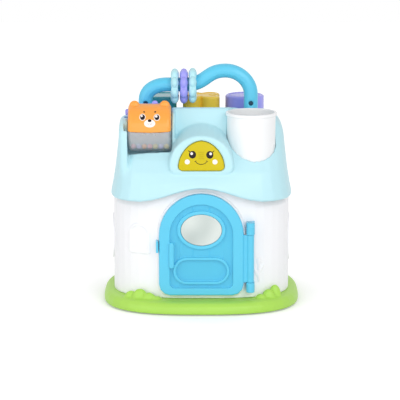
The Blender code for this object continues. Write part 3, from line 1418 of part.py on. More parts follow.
def main():
    for shape in list(bpy.data.objects):
        bpy.data.objects.remove(shape)
    make_base()
    make_feet()
    make_base_screws()
    make_front_wall()
    make_side_walls()
    make_rear_wall()
    make_battery_bay()
    make_roof()
    make_face_button()
    make_module()
    make_button_spring()
    make_handle()
    make_rings()
    make_drum()
    make_beads()
    make_cup()
    make_door()
    make_mirror()
    make_hinge_brackets()
    make_hinge_pin()
    make_latch()
    make_blocks()


main()
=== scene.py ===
# Toddler activity house with shape sorting blocks, dressed for rendering.
import json
import math

import bpy
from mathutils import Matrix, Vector

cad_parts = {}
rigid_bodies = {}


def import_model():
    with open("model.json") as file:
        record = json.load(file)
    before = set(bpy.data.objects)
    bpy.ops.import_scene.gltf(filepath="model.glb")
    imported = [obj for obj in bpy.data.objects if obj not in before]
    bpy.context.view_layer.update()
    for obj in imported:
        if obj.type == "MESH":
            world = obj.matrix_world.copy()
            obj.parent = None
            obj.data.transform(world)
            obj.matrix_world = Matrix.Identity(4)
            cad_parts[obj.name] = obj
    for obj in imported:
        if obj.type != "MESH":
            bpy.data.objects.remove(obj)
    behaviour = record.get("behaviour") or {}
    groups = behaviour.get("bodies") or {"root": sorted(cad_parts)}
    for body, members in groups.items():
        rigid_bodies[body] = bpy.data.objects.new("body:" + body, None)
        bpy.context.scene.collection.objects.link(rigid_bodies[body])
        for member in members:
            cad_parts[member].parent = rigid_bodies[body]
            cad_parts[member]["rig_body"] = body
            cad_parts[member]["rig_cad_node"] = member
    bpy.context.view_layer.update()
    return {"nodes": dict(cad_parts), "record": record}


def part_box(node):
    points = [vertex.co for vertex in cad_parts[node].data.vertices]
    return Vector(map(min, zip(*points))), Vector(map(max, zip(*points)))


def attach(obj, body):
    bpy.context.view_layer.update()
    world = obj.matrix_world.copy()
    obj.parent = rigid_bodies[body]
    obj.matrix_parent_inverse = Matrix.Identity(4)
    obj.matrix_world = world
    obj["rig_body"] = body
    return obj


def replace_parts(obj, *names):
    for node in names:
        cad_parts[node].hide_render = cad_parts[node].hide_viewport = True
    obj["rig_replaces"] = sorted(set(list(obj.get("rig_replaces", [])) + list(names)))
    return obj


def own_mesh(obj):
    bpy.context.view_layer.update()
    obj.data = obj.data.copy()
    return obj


mm = 0.001
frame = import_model()
print("frame loaded")


# Small helpers

def pickOnly(*pieces):
    bpy.ops.object.select_all(action="DESELECT")
    for piece in pieces:
        piece.select_set(True)
    bpy.context.view_layer.objects.active = pieces[0]


def applyModifier(piece, kind, **settings):
    pickOnly(piece)
    modifier = piece.modifiers.new(kind.title(), kind)
    for key, value in settings.items():
        setattr(modifier, key, value)
    bpy.ops.object.modifier_apply(modifier=modifier.name)


def placeInMesh(piece):
    # The finished piece's place goes into its mesh, so its object sits at the origin as a CAD node's does.
    pickOnly(piece)
    bpy.ops.object.transform_apply(location=True, rotation=True, scale=True)


def pickFaces(piece, wanted):
    # Leaves the piece in edit mode with only the faces picked that the test wants.
    pickOnly(piece)
    bpy.ops.object.mode_set(mode="EDIT")
    bpy.ops.mesh.select_mode(type="FACE")
    bpy.ops.mesh.select_all(action="DESELECT")
    bpy.ops.object.mode_set(mode="OBJECT")
    for face in piece.data.polygons:
        face.select = wanted(face)
    bpy.ops.object.mode_set(mode="EDIT")


def pickPoints(piece, wanted):
    # The same for points.
    pickOnly(piece)
    bpy.ops.object.mode_set(mode="EDIT")
    bpy.ops.mesh.select_mode(type="VERT")
    bpy.ops.mesh.select_all(action="DESELECT")
    bpy.ops.object.mode_set(mode="OBJECT")
    for point in piece.data.vertices:
        point.select = wanted(point.co)
    bpy.ops.object.mode_set(mode="EDIT")


def copyNode(node, name):
    # A merged copy of a CAD node, free of the frame, to be softened or worked on.
    pickOnly(frame["nodes"][node])
    bpy.ops.object.duplicate()
    piece = bpy.context.object
    bpy.ops.object.parent_clear(type="CLEAR_KEEP_TRANSFORM")
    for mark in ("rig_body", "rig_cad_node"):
        if mark in piece:
            del piece[mark]
    piece.name = name
    piece.data.materials.clear()
    bpy.ops.object.mode_set(mode="EDIT")
    bpy.ops.mesh.select_all(action="SELECT")
    bpy.ops.mesh.remove_doubles(threshold=0.002 * mm)
    bpy.ops.mesh.dissolve_limited(angle_limit=math.radians(0.05))
    bpy.ops.object.mode_set(mode="OBJECT")
    return piece


def roundEdges(piece, width, angle=35, segments=3):
    # The small radius that a mould leaves on every edge.
    applyModifier(piece, "BEVEL", width=width * mm, segments=segments, limit_method="ANGLE",
                  angle_limit=math.radians(angle), harden_normals=False, use_clamp_overlap=True)
    pickOnly(piece)
    bpy.ops.object.shade_smooth_by_angle(angle=math.radians(angle))
    applyModifier(piece, "WEIGHTED_NORMAL", keep_sharp=True, weight=50)


def softenBody(piece, voxel, passes):
    # A skin of small even faces, rubbed smooth, so that what meets runs together as in one moulding.
    applyModifier(piece, "REMESH", mode="VOXEL", voxel_size=voxel * mm, use_smooth_shade=True)
    applyModifier(piece, "SMOOTH", factor=0.5, iterations=passes)
    pickOnly(piece)
    bpy.ops.object.shade_smooth()


def linear(code):
    # sRGB hex to the linear colour that the shader takes.
    channels = [int(code[i:i + 2], 16) / 255 for i in (1, 3, 5)]
    return tuple(c / 12.92 if c <= 0.04045 else ((c + 0.055) / 1.055) ** 2.4 for c in channels) + (1,)


def addNode(tree, kind, links=None, **settings):
    # One node with its settings. Links name an input and the socket that feeds it.
    node = tree.nodes.new(kind)
    for key, value in settings.items():
        if hasattr(node, key):
            setattr(node, key, value)
        else:
            node.inputs[key.replace("_", " ")].default_value = value
    for key, socket in (links or {}).items():
        tree.links.new(socket, node.inputs[key])
    return node


def newMaterial(name):
    material = bpy.data.materials.new(name)
    material.use_nodes = True
    tree = material.node_tree
    place = addNode(tree, "ShaderNodeTexCoord").outputs["Object"]
    return material, tree, tree.nodes["Principled BSDF"], place


# Materials

plastics = {
    # Colour, roughness, depth of the mould's texture in mm, and how far the flow marks shift the colour.
    "mouldedTrayPolypropylene": {"color": "#abdb55", "rough": 0.42, "depth": 0.010, "flow": 0.05},
    "mouldedWallPolypropylene": {"color": "#f6f6f9", "rough": 0.40, "depth": 0.006, "flow": 0.015},
    "mouldedRoofPolypropylene": {"color": "#bde7f0", "rough": 0.38, "depth": 0.006, "flow": 0.03},
    "mouldedBlueAbs": {"color": "#5cc8ea", "rough": 0.33, "depth": 0.005, "flow": 0.04},
    # A darker copy of the door's blue: painted shade for the door's sunk panel.
    "mouldedBlueAbsPaintedShade": {"color": "#51bfe2", "rough": 0.36, "depth": 0.008, "flow": 0.05},
    "mouldedAquaRingAbs": {"color": "#b5e6ee", "rough": 0.22, "depth": 0.003, "flow": 0.03},
    "mouldedLilacAbs": {"color": "#a19ff4", "rough": 0.26, "depth": 0.004, "flow": 0.04},
    "mouldedOrangeAbs": {"color": "#fba440", "rough": 0.30, "depth": 0.004, "flow": 0.03},
    "mouldedYellowAbs": {"color": "#ffd144", "rough": 0.30, "depth": 0.005, "flow": 0.04},
    "mouldedTealAbs": {"color": "#2f97a3", "rough": 0.30, "depth": 0.005, "flow": 0.05},
    "mouldedBeadPink": {"color": "#ff9db4", "rough": 0.26, "depth": 0.003, "flow": 0.03},
    "mouldedBeadLilac": {"color": "#c3bdfb", "rough": 0.26, "depth": 0.003, "flow": 0.03},
    "mouldedBeadOrange": {"color": "#ffa445", "rough": 0.26, "depth": 0.003, "flow": 0.03},
    "mouldedBeadYellow": {"color": "#f3df72", "rough": 0.26, "depth": 0.003, "flow": 0.03},
    "mouldedCupPolypropylene": {"color": "#f3f4f5", "rough": 0.30, "depth": 0.004, "flow": 0.01},
    "paintedPadAbs": {"color": "#d3bf18", "rough": 0.36, "depth": 0.005, "flow": 0.05},
    "mouldedGreyRubber": {"color": "#8d8f8c", "rough": 0.75, "depth": 0.030, "flow": 0.08},
    "paintedScrewSteel": {"color": "#04455f", "rough": 0.35, "depth": 0.004, "flow": 0.06},
    "blackPadInk": {"color": "#221a1e", "rough": 0.32, "depth": 0.002, "flow": 0.05},
    "whitePadInk": {"color": "#fdf3ee", "rough": 0.36, "depth": 0.002, "flow": 0.01},
    "brownPadInk": {"color": "#7a3d12", "rough": 0.36, "depth": 0.002, "flow": 0.05},
}


mouldSkin = {
    # Sizes in mm of the flow marks and the grain, strength of the grain, gloss of bare plastic and of ink, how far
    # the roughness drifts, how much hands polish the edges, and how dark the painted shade in the hollows is.
    "flowSize": 60, "grainSize": 1.1, "grainStrength": 0.35, "ior": 1.49, "gloss": 0.5, "inkGloss": 0.2,
    "drift": 0.15, "polish": 0.3, "paintedHollowShade": 0.12, "edgeFrom": 0.5, "edgeTo": 0.6, "paintedShadeFrom": 0.40,
    "paintedShadeTo": 0.49,
}


def mouldedPlastic(name):
    # Injection moulded plastic: a satin skin with the mould's faint grain, flow marks that lighten and darken the
    # colour a little, edges that hands have polished, and painted shade that darkens the hollows.
    look, skin = plastics[name], mouldSkin
    material, tree, shader, place = newMaterial(name)
    shader.inputs["IOR"].default_value = skin["ior"]
    shader.inputs["Specular IOR Level"].default_value = skin["inkGloss"] if "Pad" in name else skin["gloss"]
    flow = addNode(tree, "ShaderNodeTexNoise", {"Vector": place}, Scale=1 / (skin["flowSize"] * mm), Detail=3.0)
    grain = addNode(tree, "ShaderNodeTexNoise", {"Vector": place}, Scale=1 / (skin["grainSize"] * mm), Detail=2.0)
    base = linear(look["color"])
    tint = addNode(tree, "ShaderNodeMix", {"Factor": flow.outputs["Fac"]}, data_type="RGBA")
    tint.inputs[6].default_value = tuple(c * (1 - look["flow"]) for c in base[:3]) + (1,)
    tint.inputs[7].default_value = tuple(min(c * (1 + look["flow"] / 2), 1) for c in base[:3]) + (1,)
    edge = addNode(tree, "ShaderNodeNewGeometry").outputs["Pointiness"]
    # Painted shade: the colour is darkened where pointiness is low, in hollows and creases where shade falls.
    shade = addNode(tree, "ShaderNodeMapRange", {"Value": edge}, From_Min=skin["paintedShadeFrom"],
                    From_Max=skin["paintedShadeTo"], To_Min=1 - skin["paintedHollowShade"], To_Max=1.0)
    shadedTint = addNode(tree, "ShaderNodeMix", {6: tint.outputs[2], 7: shade.outputs["Result"]}, data_type="RGBA",
                   blend_type="MULTIPLY", Factor=1.0)
    tree.links.new(shadedTint.outputs[2], shader.inputs["Base Color"])
    polish = addNode(tree, "ShaderNodeMapRange", {"Value": edge}, From_Min=skin["edgeFrom"],
                     From_Max=skin["edgeTo"], To_Min=0.0, To_Max=look["rough"] * skin["polish"])
    drift = addNode(tree, "ShaderNodeMapRange", {"Value": flow.outputs["Fac"]},
                    To_Min=look["rough"] * (1 - skin["drift"]), To_Max=look["rough"] * (1 + skin["drift"]))
    rough = addNode(tree, "ShaderNodeMath", {0: drift.outputs["Result"], 1: polish.outputs["Result"]},
                    operation="SUBTRACT")
    tree.links.new(rough.outputs[0], shader.inputs["Roughness"])
    bump = addNode(tree, "ShaderNodeBump", {"Height": grain.outputs["Fac"]}, Strength=skin["grainStrength"],
                   Distance=look["depth"] * mm)
    tree.links.new(bump.outputs["Normal"], shader.inputs["Normal"])
    return material


clearDrum = {
    "alpha": 0.27, "ior": 1.45, "hazeSize": 14, "dark": "#f4f3f7", "light": "#fbfbfb", "rough": (0.15, 0.3),
}


def clearStyrene():
    # Clear polystyrene of the bead drum, grey with the haze of fine scratches.
    material, tree, shader, place = newMaterial("clearPolystyrene")
    look = clearDrum
    shader.inputs["IOR"].default_value = look["ior"]
    shader.inputs["Alpha"].default_value = look["alpha"]
    haze = addNode(tree, "ShaderNodeTexNoise", {"Vector": place}, Scale=1 / (look["hazeSize"] * mm), Detail=4.0)
    tint = addNode(tree, "ShaderNodeMix", {"Factor": haze.outputs["Fac"]}, data_type="RGBA")
    tint.inputs[6].default_value = linear(look["dark"])
    tint.inputs[7].default_value = linear(look["light"])
    tree.links.new(tint.outputs[2], shader.inputs["Base Color"])
    drift = addNode(tree, "ShaderNodeMapRange", {"Value": haze.outputs["Fac"]}, To_Min=look["rough"][0],
                    To_Max=look["rough"][1])
    tree.links.new(drift.outputs["Result"], shader.inputs["Roughness"])
    return material


mirror = {"rippleSize": 30, "dark": "#a4afac", "light": "#d3d9d5", "rough": (0.12, 0.2)}


def mirrorFilm():
    # Metallised film behind acrylic: bright, and a little soft where the film isn't flat.
    material, tree, shader, place = newMaterial("metallisedMirrorFilm")
    look = mirror
    shader.inputs["Metallic"].default_value = 1
    ripple = addNode(tree, "ShaderNodeTexNoise", {"Vector": place}, Scale=1 / (look["rippleSize"] * mm),
                     Detail=0.0)
    tint = addNode(tree, "ShaderNodeMix", {"Factor": ripple.outputs["Fac"]}, data_type="RGBA")
    tint.inputs[6].default_value = linear(look["dark"])
    tint.inputs[7].default_value = linear(look["light"])
    tree.links.new(tint.outputs[2], shader.inputs["Base Color"])
    drift = addNode(tree, "ShaderNodeMapRange", {"Value": ripple.outputs["Fac"]}, To_Min=look["rough"][0],
                    To_Max=look["rough"][1])
    tree.links.new(drift.outputs["Result"], shader.inputs["Roughness"])
    return material


metals = {
    # Colour, roughness from and to, size of the marks in mm along x, y and z, and their depth in mm.
    "zincPlatedSteel": {"color": "#c4c6c8", "rough": (0.25, 0.45), "marks": (0.6, 0.6, 0.6), "depth": 0.010},
    "drawnSpringSteel": {"color": "#b9bbbd", "rough": (0.20, 0.35), "marks": (0.3, 3.0, 0.3), "depth": 0.006},
    "pressedSpeakerSteel": {"color": "#84878a", "rough": (0.30, 0.50), "marks": (0.8, 4.0, 0.8), "depth": 0.008},
    "sleevedCellSteel": {"color": "#5d6470", "rough": (0.22, 0.36), "marks": (6.0, 0.7, 0.7), "depth": 0.004},
}


def barePlate(name):
    # Bare or plated metal: bright, with the fine marks that drawing, pressing or turning leaves.
    look = metals[name]
    material, tree, shader, place = newMaterial(name)
    shader.inputs["Base Color"].default_value = linear(look["color"])
    shader.inputs["Metallic"].default_value = 1
    stretch = addNode(tree, "ShaderNodeMapping", {"Vector": place})
    stretch.inputs["Scale"].default_value = tuple(1 / (size * mm) for size in look["marks"])
    marks = addNode(tree, "ShaderNodeTexNoise", {"Vector": stretch.outputs["Vector"]}, Scale=1.0, Detail=3.0)
    drift = addNode(tree, "ShaderNodeMapRange", {"Value": marks.outputs["Fac"]},
                    To_Min=look["rough"][0], To_Max=look["rough"][1])
    tree.links.new(drift.outputs["Result"], shader.inputs["Roughness"])
    bump = addNode(tree, "ShaderNodeBump", {"Height": marks.outputs["Fac"]}, Strength=0.3,
                   Distance=look["depth"] * mm)
    tree.links.new(bump.outputs["Normal"], shader.inputs["Normal"])
    return material


def coatedBoard():
    # Glass epoxy board under green resist: copper lands show as paler cells with fine edges.
    material, tree, shader, place = newMaterial("solderResistBoard")
    cells = addNode(tree, "ShaderNodeTexVoronoi", {"Vector": place}, feature="DISTANCE_TO_EDGE",
                    distance="EUCLIDEAN", Scale=1 / (3.2 * mm))
    copper = addNode(tree, "ShaderNodeMapRange", {"Value": cells.outputs["Distance"]}, From_Min=0.05,
                     From_Max=0.09)
    tint = addNode(tree, "ShaderNodeMix", {"Factor": copper.outputs["Result"]}, data_type="RGBA")
    tint.inputs[6].default_value = linear("#0f4a2a")
    tint.inputs[7].default_value = linear("#1f6b3c")
    tree.links.new(tint.outputs[2], shader.inputs["Base Color"])
    drift = addNode(tree, "ShaderNodeMapRange", {"Value": copper.outputs["Result"]}, To_Min=0.5, To_Max=0.3)
    tree.links.new(drift.outputs["Result"], shader.inputs["Roughness"])
    bump = addNode(tree, "ShaderNodeBump", {"Height": copper.outputs["Result"]}, Strength=0.5,
                   Distance=0.03 * mm)
    tree.links.new(bump.outputs["Normal"], shader.inputs["Normal"])
    return material


finishes = {name: mouldedPlastic(name) for name in plastics}
finishes.update({name: barePlate(name) for name in metals})
finishes["clearPolystyrene"] = clearStyrene()
finishes["metallisedMirrorFilm"] = mirrorFilm()
finishes["solderResistBoard"] = coatedBoard()
print("materials made")

bodyOf = {}
for body, nodes in frame["record"]["behaviour"]["bodies"].items():
    for node in nodes:
        bodyOf[node] = body


def finishPiece(piece, finish, node):
    # The piece takes its finish and stands for a CAD node on that node's body.
    piece.data.materials.clear()
    piece.data.materials.append(finishes[finish])
    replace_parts(piece, node)
    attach(piece, bodyOf[node])
    print("made", piece.name, len(piece.data.polygons))


# Pieces that keep the CAD's form, with rounded edges

crispPieces = {
    # Node: finish, edge radius in millimetres.
    "rear_wall": ("mouldedWallPolypropylene", 0.4),
    "left_wall": ("mouldedWallPolypropylene", 0.4),
    "right_wall": ("mouldedWallPolypropylene", 0.4),
    "face_button": ("paintedPadAbs", 0.6),
    "door_mirror": ("metallisedMirrorFilm", 0.2),
    "hinge_bracket_lower": ("mouldedBlueAbs", 0.4),
    "hinge_bracket_upper": ("mouldedBlueAbs", 0.4),
    "latch_catch": ("mouldedBlueAbs", 0.3),
    "drum_rear_shell": ("mouldedLilacAbs", 0.4),
    "drum_barrel": ("clearPolystyrene", 0.3),
    "cup": ("mouldedCupPolypropylene", 0.4),
    "battery_cover": ("mouldedWallPolypropylene", 0.4),
    "foot_front_left": ("mouldedGreyRubber", 0.4),
    "foot_front_right": ("mouldedGreyRubber", 0.4),
    "foot_rear_left": ("mouldedGreyRubber", 0.4),
    "foot_rear_right": ("mouldedGreyRubber", 0.4),
}
for node, (finish, edge) in crispPieces.items():
    piece = copyNode(node, node + "_skin")
    roundEdges(piece, edge)
    finishPiece(piece, finish, node)


# Slots for the speaker's sound, between the eyes of the face button. Lengths in millimetres

soundSlots = {"heights": (207.9, 205.3, 202.7, 200.1), "halfLength": 3.4, "halfHeight": 0.35, "depth": 0.5}


def cutSlots(piece):
    # One bar with round ends is made and copied up the face, and all of them are cut away together.
    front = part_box("face_button")[0][1]
    bars = []
    for height in soundSlots["heights"]:
        if not bars:
            bpy.ops.object.select_all(action="DESELECT")
            bpy.ops.mesh.primitive_cylinder_add(vertices=24, radius=soundSlots["halfHeight"] * mm,
                                                depth=2 * soundSlots["depth"] * mm,
                                                rotation=(math.radians(90), 0, 0))
            bar = bpy.context.object
            placeInMesh(bar)
            for side in (-1, 1):
                pickPoints(bar, lambda place: place.x * side > 0.01 * mm)
                bpy.ops.transform.translate(value=(side * soundSlots["halfLength"] * mm, 0, 0))
                bpy.ops.object.mode_set(mode="OBJECT")
        else:
            pickOnly(bars[0])
            bpy.ops.object.duplicate()
        bpy.context.object.location = (0, front, height * mm)
        bars.append(bpy.context.object)
    pickOnly(*bars)
    bpy.ops.object.join()
    cutter = bpy.context.object
    placeInMesh(cutter)
    applyModifier(piece, "BOOLEAN", object=cutter, operation="DIFFERENCE", solver="EXACT")
    bpy.data.objects.remove(cutter)
    print("slots cut", len(piece.data.polygons))


cutSlots(bpy.data.objects["face_button_skin"])


# Large mouldings whose parts run together in soft blends

blendedPieces = {
    # Node: finish, size of the even faces in mm, smoothing passes, and the share of faces kept.
    "base_plate": ("mouldedTrayPolypropylene", 1.1, 6, 0.5),
    "handle_tube": ("mouldedBlueAbs", 0.9, 5, 1.0),
    "drum_front_shell": ("mouldedOrangeAbs", 0.6, 6, 1.0),
    "roof_shell": ("mouldedRoofPolypropylene", 1.15, 8, 0.38),
    "door": ("mouldedBlueAbs", 0.5, 2, 0.35),
    "front_wall": ("mouldedWallPolypropylene", 0.7, 2, 0.22),
}
# The roof's sides are rubbed smooth over a wider area where nothing is set into them. Lengths in mm.
roofSides = {
    "passes": 70, "fade": 8, "deck": 228, "wells": 183, "wellsBehind": 8, "eave": 148, "arch": 169,
    "archHalf": 90, "dormer": 172, "dormerHalf": 52, "dormerFront": -45,
}


def fairSides(piece):
    look = roofSides
    group = piece.vertex_groups.new(name="sides")
    for point in piece.data.vertices:
        x, y, z = (value / mm for value in point.co)
        upper = look["deck"] if y > look["wellsBehind"] else look["wells"]
        lower = look["arch"] if abs(x) < look["archHalf"] else look["eave"]
        if abs(x) < look["dormerHalf"] and y < look["dormerFront"]:
            upper = look["dormer"]
        weight = min((upper - z) / look["fade"], (z - lower) / look["fade"], 1)
        if weight > 0:
            group.add([point.index], weight, "REPLACE")
    applyModifier(piece, "SMOOTH", factor=0.5, iterations=look["passes"], vertex_group="sides")
    piece.vertex_groups.clear()


for node, (finish, voxel, passes, keep) in blendedPieces.items():
    piece = copyNode(node, node + "_skin")
    softenBody(piece, voxel, passes)
    if node == "roof_shell":
        fairSides(piece)
    if keep < 1:
        applyModifier(piece, "DECIMATE", ratio=keep)
    if node in ("door", "front_wall"):
        applyModifier(piece, "WEIGHTED_NORMAL", weight=50)
    finishPiece(piece, finish, node)


# The door's sunk panel takes a darker copy of the door's blue with a slightly coarser grain: painted shade in the
# recess

doorPanel = {"finish": "mouldedBlueAbsPaintedShade", "depth": 2.0, "mirrorSunk": 0.9, "halfWidth": 45}
door = bpy.data.objects["door_skin"]
door.data.materials.append(finishes[doorPanel["finish"]])
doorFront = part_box("door_mirror")[0][1] - doorPanel["mirrorSunk"] * mm
for face in door.data.polygons:
    sunk = face.center.y - doorFront > doorPanel["depth"] * mm
    if face.normal.y < -0.9 and sunk and abs(face.center.x) < doorPanel["halfWidth"] * mm:
        # The sunk panel's faces take the painted shade.
        face.material_index = 1


# The button's spring, a copy of its CAD node in drawn steel with a mesh of its own

spring = copyNode("button_spring", "button_spring_skin")
low, high = [Vector(corner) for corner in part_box("button_spring")]
spring.data.materials.append(finishes["drawnSpringSteel"])
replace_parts(spring, "button_spring")
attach(spring, bodyOf["button_spring"])
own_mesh(spring)


# Sorting blocks: the tops are dished inside a rim, and the disc has a ring of studs

blocks = {
    "block_square": {"finish": "mouldedTealAbs", "rim": 2.6, "dish": 0.9, "edge": 0.5},
    "block_flower": {"finish": "mouldedYellowAbs", "rim": 2.2, "dish": 0.9, "edge": 0.5},
    "block_disc": {"finish": "mouldedLilacAbs", "rim": 3.4, "dish": 0.7, "edge": 0.5},
}
dishSlope = 0.6
studs = {"count": 26, "radius": 1.05, "height": 0.5, "circle": 20.2}


def dishTop(piece, top, rim, dish):
    # The top face is inset to a rim and then sunk.
    pickFaces(piece, lambda face: face.normal.z > 0.999 and face.center.z > top - 0.05 * mm)
    bpy.ops.mesh.dissolve_faces()
    bpy.ops.mesh.inset(thickness=rim * mm, use_even_offset=True)
    bpy.ops.mesh.inset(thickness=dishSlope * mm, depth=-dish * mm, use_even_offset=True)
    bpy.ops.object.mode_set(mode="OBJECT")


def makeStuds(center, top):
    # Low round studs in a circle: one is modelled, the rest are copies.
    rows = []
    for index in range(studs["count"]):
        angle = 2 * math.pi * index / studs["count"]
        spot = (center.x + studs["circle"] * mm * math.cos(angle),
                center.y + studs["circle"] * mm * math.sin(angle), top)
        if not rows:
            bpy.ops.object.select_all(action="DESELECT")
            bpy.ops.mesh.primitive_uv_sphere_add(segments=16, ring_count=10, radius=studs["radius"] * mm,
                                                 location=spot)
            bpy.context.object.scale.z = studs["height"] / studs["radius"]
        else:
            pickOnly(rows[0])
            bpy.ops.object.duplicate()
            bpy.context.object.location = spot
        rows.append(bpy.context.object)
    pickOnly(*rows)
    bpy.ops.object.join()
    bpy.ops.object.shade_smooth()
    placeInMesh(bpy.context.object)
    return bpy.context.object


for node, look in blocks.items():
    piece = copyNode(node, node + "_skin")
    low, high = [Vector(corner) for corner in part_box(node)]
    dishTop(piece, high.z, look["rim"], look["dish"])
    roundEdges(piece, look["edge"])
    if node == "block_disc":
        ring = makeStuds((low + high) / 2, high.z)
        pickOnly(piece, ring)
        bpy.ops.object.join()
    finishPiece(piece, look["finish"], node)


# Teething rings on the handle: petals fused round a hub, with a crease between each two

rings = {
    "petals": 8, "petalRadius": 7.6, "petalCircle": 15.7, "halfWidth": 5.4, "hubRadius": 19.4, "hubHalf": 4.3,
    "bore": 11.6, "voxel": 0.5, "passes": 3,
    "finish": {"ring_1": "mouldedAquaRingAbs", "ring_2": "mouldedLilacAbs", "ring_3": "mouldedAquaRingAbs"},
}


def makeRing():
    # One ring about the X axis through the origin.
    parts = []
    for index in range(rings["petals"]):
        angle = 2 * math.pi * (index + 0.5) / rings["petals"]
        bpy.ops.object.select_all(action="DESELECT")
        bpy.ops.mesh.primitive_uv_sphere_add(
            segments=32, ring_count=20, radius=rings["petalRadius"] * mm,
            location=(0, rings["petalCircle"] * mm * math.cos(angle), rings["petalCircle"] * mm * math.sin(angle)))
        bpy.context.object.scale.x = rings["halfWidth"] / rings["petalRadius"]
        parts.append(bpy.context.object)
    bpy.ops.mesh.primitive_cylinder_add(vertices=96, radius=rings["hubRadius"] * mm,
                                        depth=2 * rings["hubHalf"] * mm, rotation=(0, math.radians(90), 0))
    parts.append(bpy.context.object)
    pickOnly(*parts)
    bpy.ops.object.join()
    piece = bpy.context.object
    placeInMesh(piece)
    applyModifier(piece, "REMESH", mode="VOXEL", voxel_size=rings["voxel"] * mm, use_smooth_shade=True)
    bpy.ops.object.select_all(action="DESELECT")
    bpy.ops.mesh.primitive_cylinder_add(vertices=96, radius=rings["bore"] * mm,
                                        depth=4 * rings["halfWidth"] * mm, rotation=(0, math.radians(90), 0))
    borer = bpy.context.object
    placeInMesh(borer)
    applyModifier(piece, "BOOLEAN", object=borer, operation="DIFFERENCE", solver="EXACT")
    bpy.data.objects.remove(borer)
    softenBody(piece, rings["voxel"], rings["passes"])
    return piece


firstRing = makeRing()
for node, finish in rings["finish"].items():
    low, high = [Vector(corner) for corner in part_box(node)]
    pickOnly(firstRing)
    bpy.ops.object.duplicate()
    piece = bpy.context.object
    piece.name = node + "_skin"
    piece.location = (low + high) / 2
    placeInMesh(piece)
    finishPiece(piece, finish, node)
bpy.data.objects.remove(firstRing)


# Beads of the drum: round with a parting line

beads = {
    "bead_1": "mouldedBeadPink", "bead_2": "mouldedBeadLilac", "bead_3": "mouldedBeadOrange",
    "bead_4": "mouldedBeadPink", "bead_5": "mouldedBeadYellow", "bead_6": "mouldedBeadLilac",
    "bead_7": "mouldedBeadYellow",
}


partingLine = {"width": 0.12, "sink": 0.035, "turn": (0.5, 0.9)}


def makeBead(radius):
    bpy.ops.object.select_all(action="DESELECT")
    bpy.ops.mesh.primitive_uv_sphere_add(segments=32, ring_count=18, radius=radius)
    piece = bpy.context.object
    pickPoints(piece, lambda place: abs(place.z) < 0.02 * radius)
    bpy.ops.mesh.bevel(offset=partingLine["width"] * mm, segments=2, affect="EDGES")
    bpy.ops.object.mode_set(mode="OBJECT")
    pickPoints(piece, lambda place: abs(place.z) < 0.01 * mm)
    narrow = 1 - partingLine["sink"]
    bpy.ops.transform.resize(value=(narrow, narrow, 1), center_override=(0, 0, 0))
    bpy.ops.object.mode_set(mode="OBJECT")
    bpy.ops.object.shade_smooth()
    return piece


low, high = [Vector(corner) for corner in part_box("bead_1")]
firstBead = makeBead((high.z - low.z) / 2)
for turn, (node, finish) in enumerate(beads.items()):
    low, high = [Vector(corner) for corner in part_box(node)]
    pickOnly(firstBead)
    bpy.ops.object.duplicate()
    piece = bpy.context.object
    piece.name = node + "_skin"
    piece.rotation_euler = (partingLine["turn"][0] * turn, partingLine["turn"][1] * turn, 0)
    piece.location = (low + high) / 2
    placeInMesh(piece)
    finishPiece(piece, finish, node)
bpy.data.objects.remove(firstBead)


# Printed faces: spots and lines of pad ink, laid on the surface behind them

bearPrint = {
    # Ink, centre x and z, half width and half height, turn in degrees, thickness; all lengths in mm.
    "spots": [
        ("whitePadInk", -74.6, 249.0, 3.9, 3.9, 0, 0.06), ("whitePadInk", -56.4, 248.8, 3.9, 3.9, 0, 0.06),
        ("blackPadInk", -74.6, 249.0, 3.1, 3.2, 0, 0.12), ("blackPadInk", -56.4, 248.8, 3.1, 3.2, 0, 0.12),
        ("whitePadInk", -75.6, 250.4, 1.2, 1.1, 0, 0.18), ("whitePadInk", -57.2, 250.0, 1.6, 1.4, 0, 0.18),
        ("whitePadInk", -65.5, 241.6, 7.1, 4.9, 0, 0.08), ("blackPadInk", -65.5, 244.9, 2.3, 1.7, 0, 0.16),
        ("blackPadInk", -72.7, 255.0, 1.1, 0.8, 20, 0.10), ("blackPadInk", -58.7, 255.0, 1.1, 0.8, -20, 0.10),
    ],
    # Ink, centre x and z, radius, half angle in degrees, width, thickness.
    "lines": [
        ("brownPadInk", -67.1, 242.2, 1.7, 62, 0.35, 0.14), ("brownPadInk", -63.9, 242.2, 1.7, 62, 0.35, 0.14),
    ],
    "carrier": "drum_front_shell_skin", "body": "drum", "name": "bear_print",
}
smilePrint = {
    "spots": [
        ("blackPadInk", -11.2, 204.9, 4.5, 4.9, 0, 0.08), ("blackPadInk", 10.7, 204.7, 4.5, 4.9, 0, 0.08),
        ("whitePadInk", -12.2, 206.3, 1.7, 1.8, 0, 0.14), ("whitePadInk", 11.7, 206.0, 1.7, 1.8, 0, 0.14),
        ("whitePadInk", -17.8, 195.7, 3.2, 3.2, 0, 0.08), ("whitePadInk", 17.2, 195.6, 3.2, 3.2, 0, 0.08),
        ("blackPadInk", -15.4, 209.3, 1.9, 0.5, 38, 0.08), ("blackPadInk", 14.9, 208.9, 1.9, 0.5, -38, 0.08),
        ("blackPadInk", -7.4, 196.4, 1.4, 0.5, -35, 0.08), ("blackPadInk", 7.0, 196.4, 1.4, 0.5, 35, 0.08),
    ],
    "lines": [("blackPadInk", -0.2, 202.0, 9.9, 47, 0.8, 0.08)],
    "carrier": "face_button_skin", "body": "button", "name": "smile_print",
}


inkStart = -200  # How far in front of the house the ink's shapes are drawn, in mm.
inkLift = 0.02


def layInk(piece, carrier, ink, thick):
    # The flat shape is pressed back on to the carrier and given the ink's thickness.
    applyModifier(piece, "SHRINKWRAP", target=bpy.data.objects[carrier], wrap_method="PROJECT",
                  use_project_y=True, use_positive_direction=True, use_negative_direction=False,
                  offset=inkLift * mm)
    applyModifier(piece, "SOLIDIFY", thickness=thick * mm, offset=1)
    piece.data.materials.append(finishes[ink])


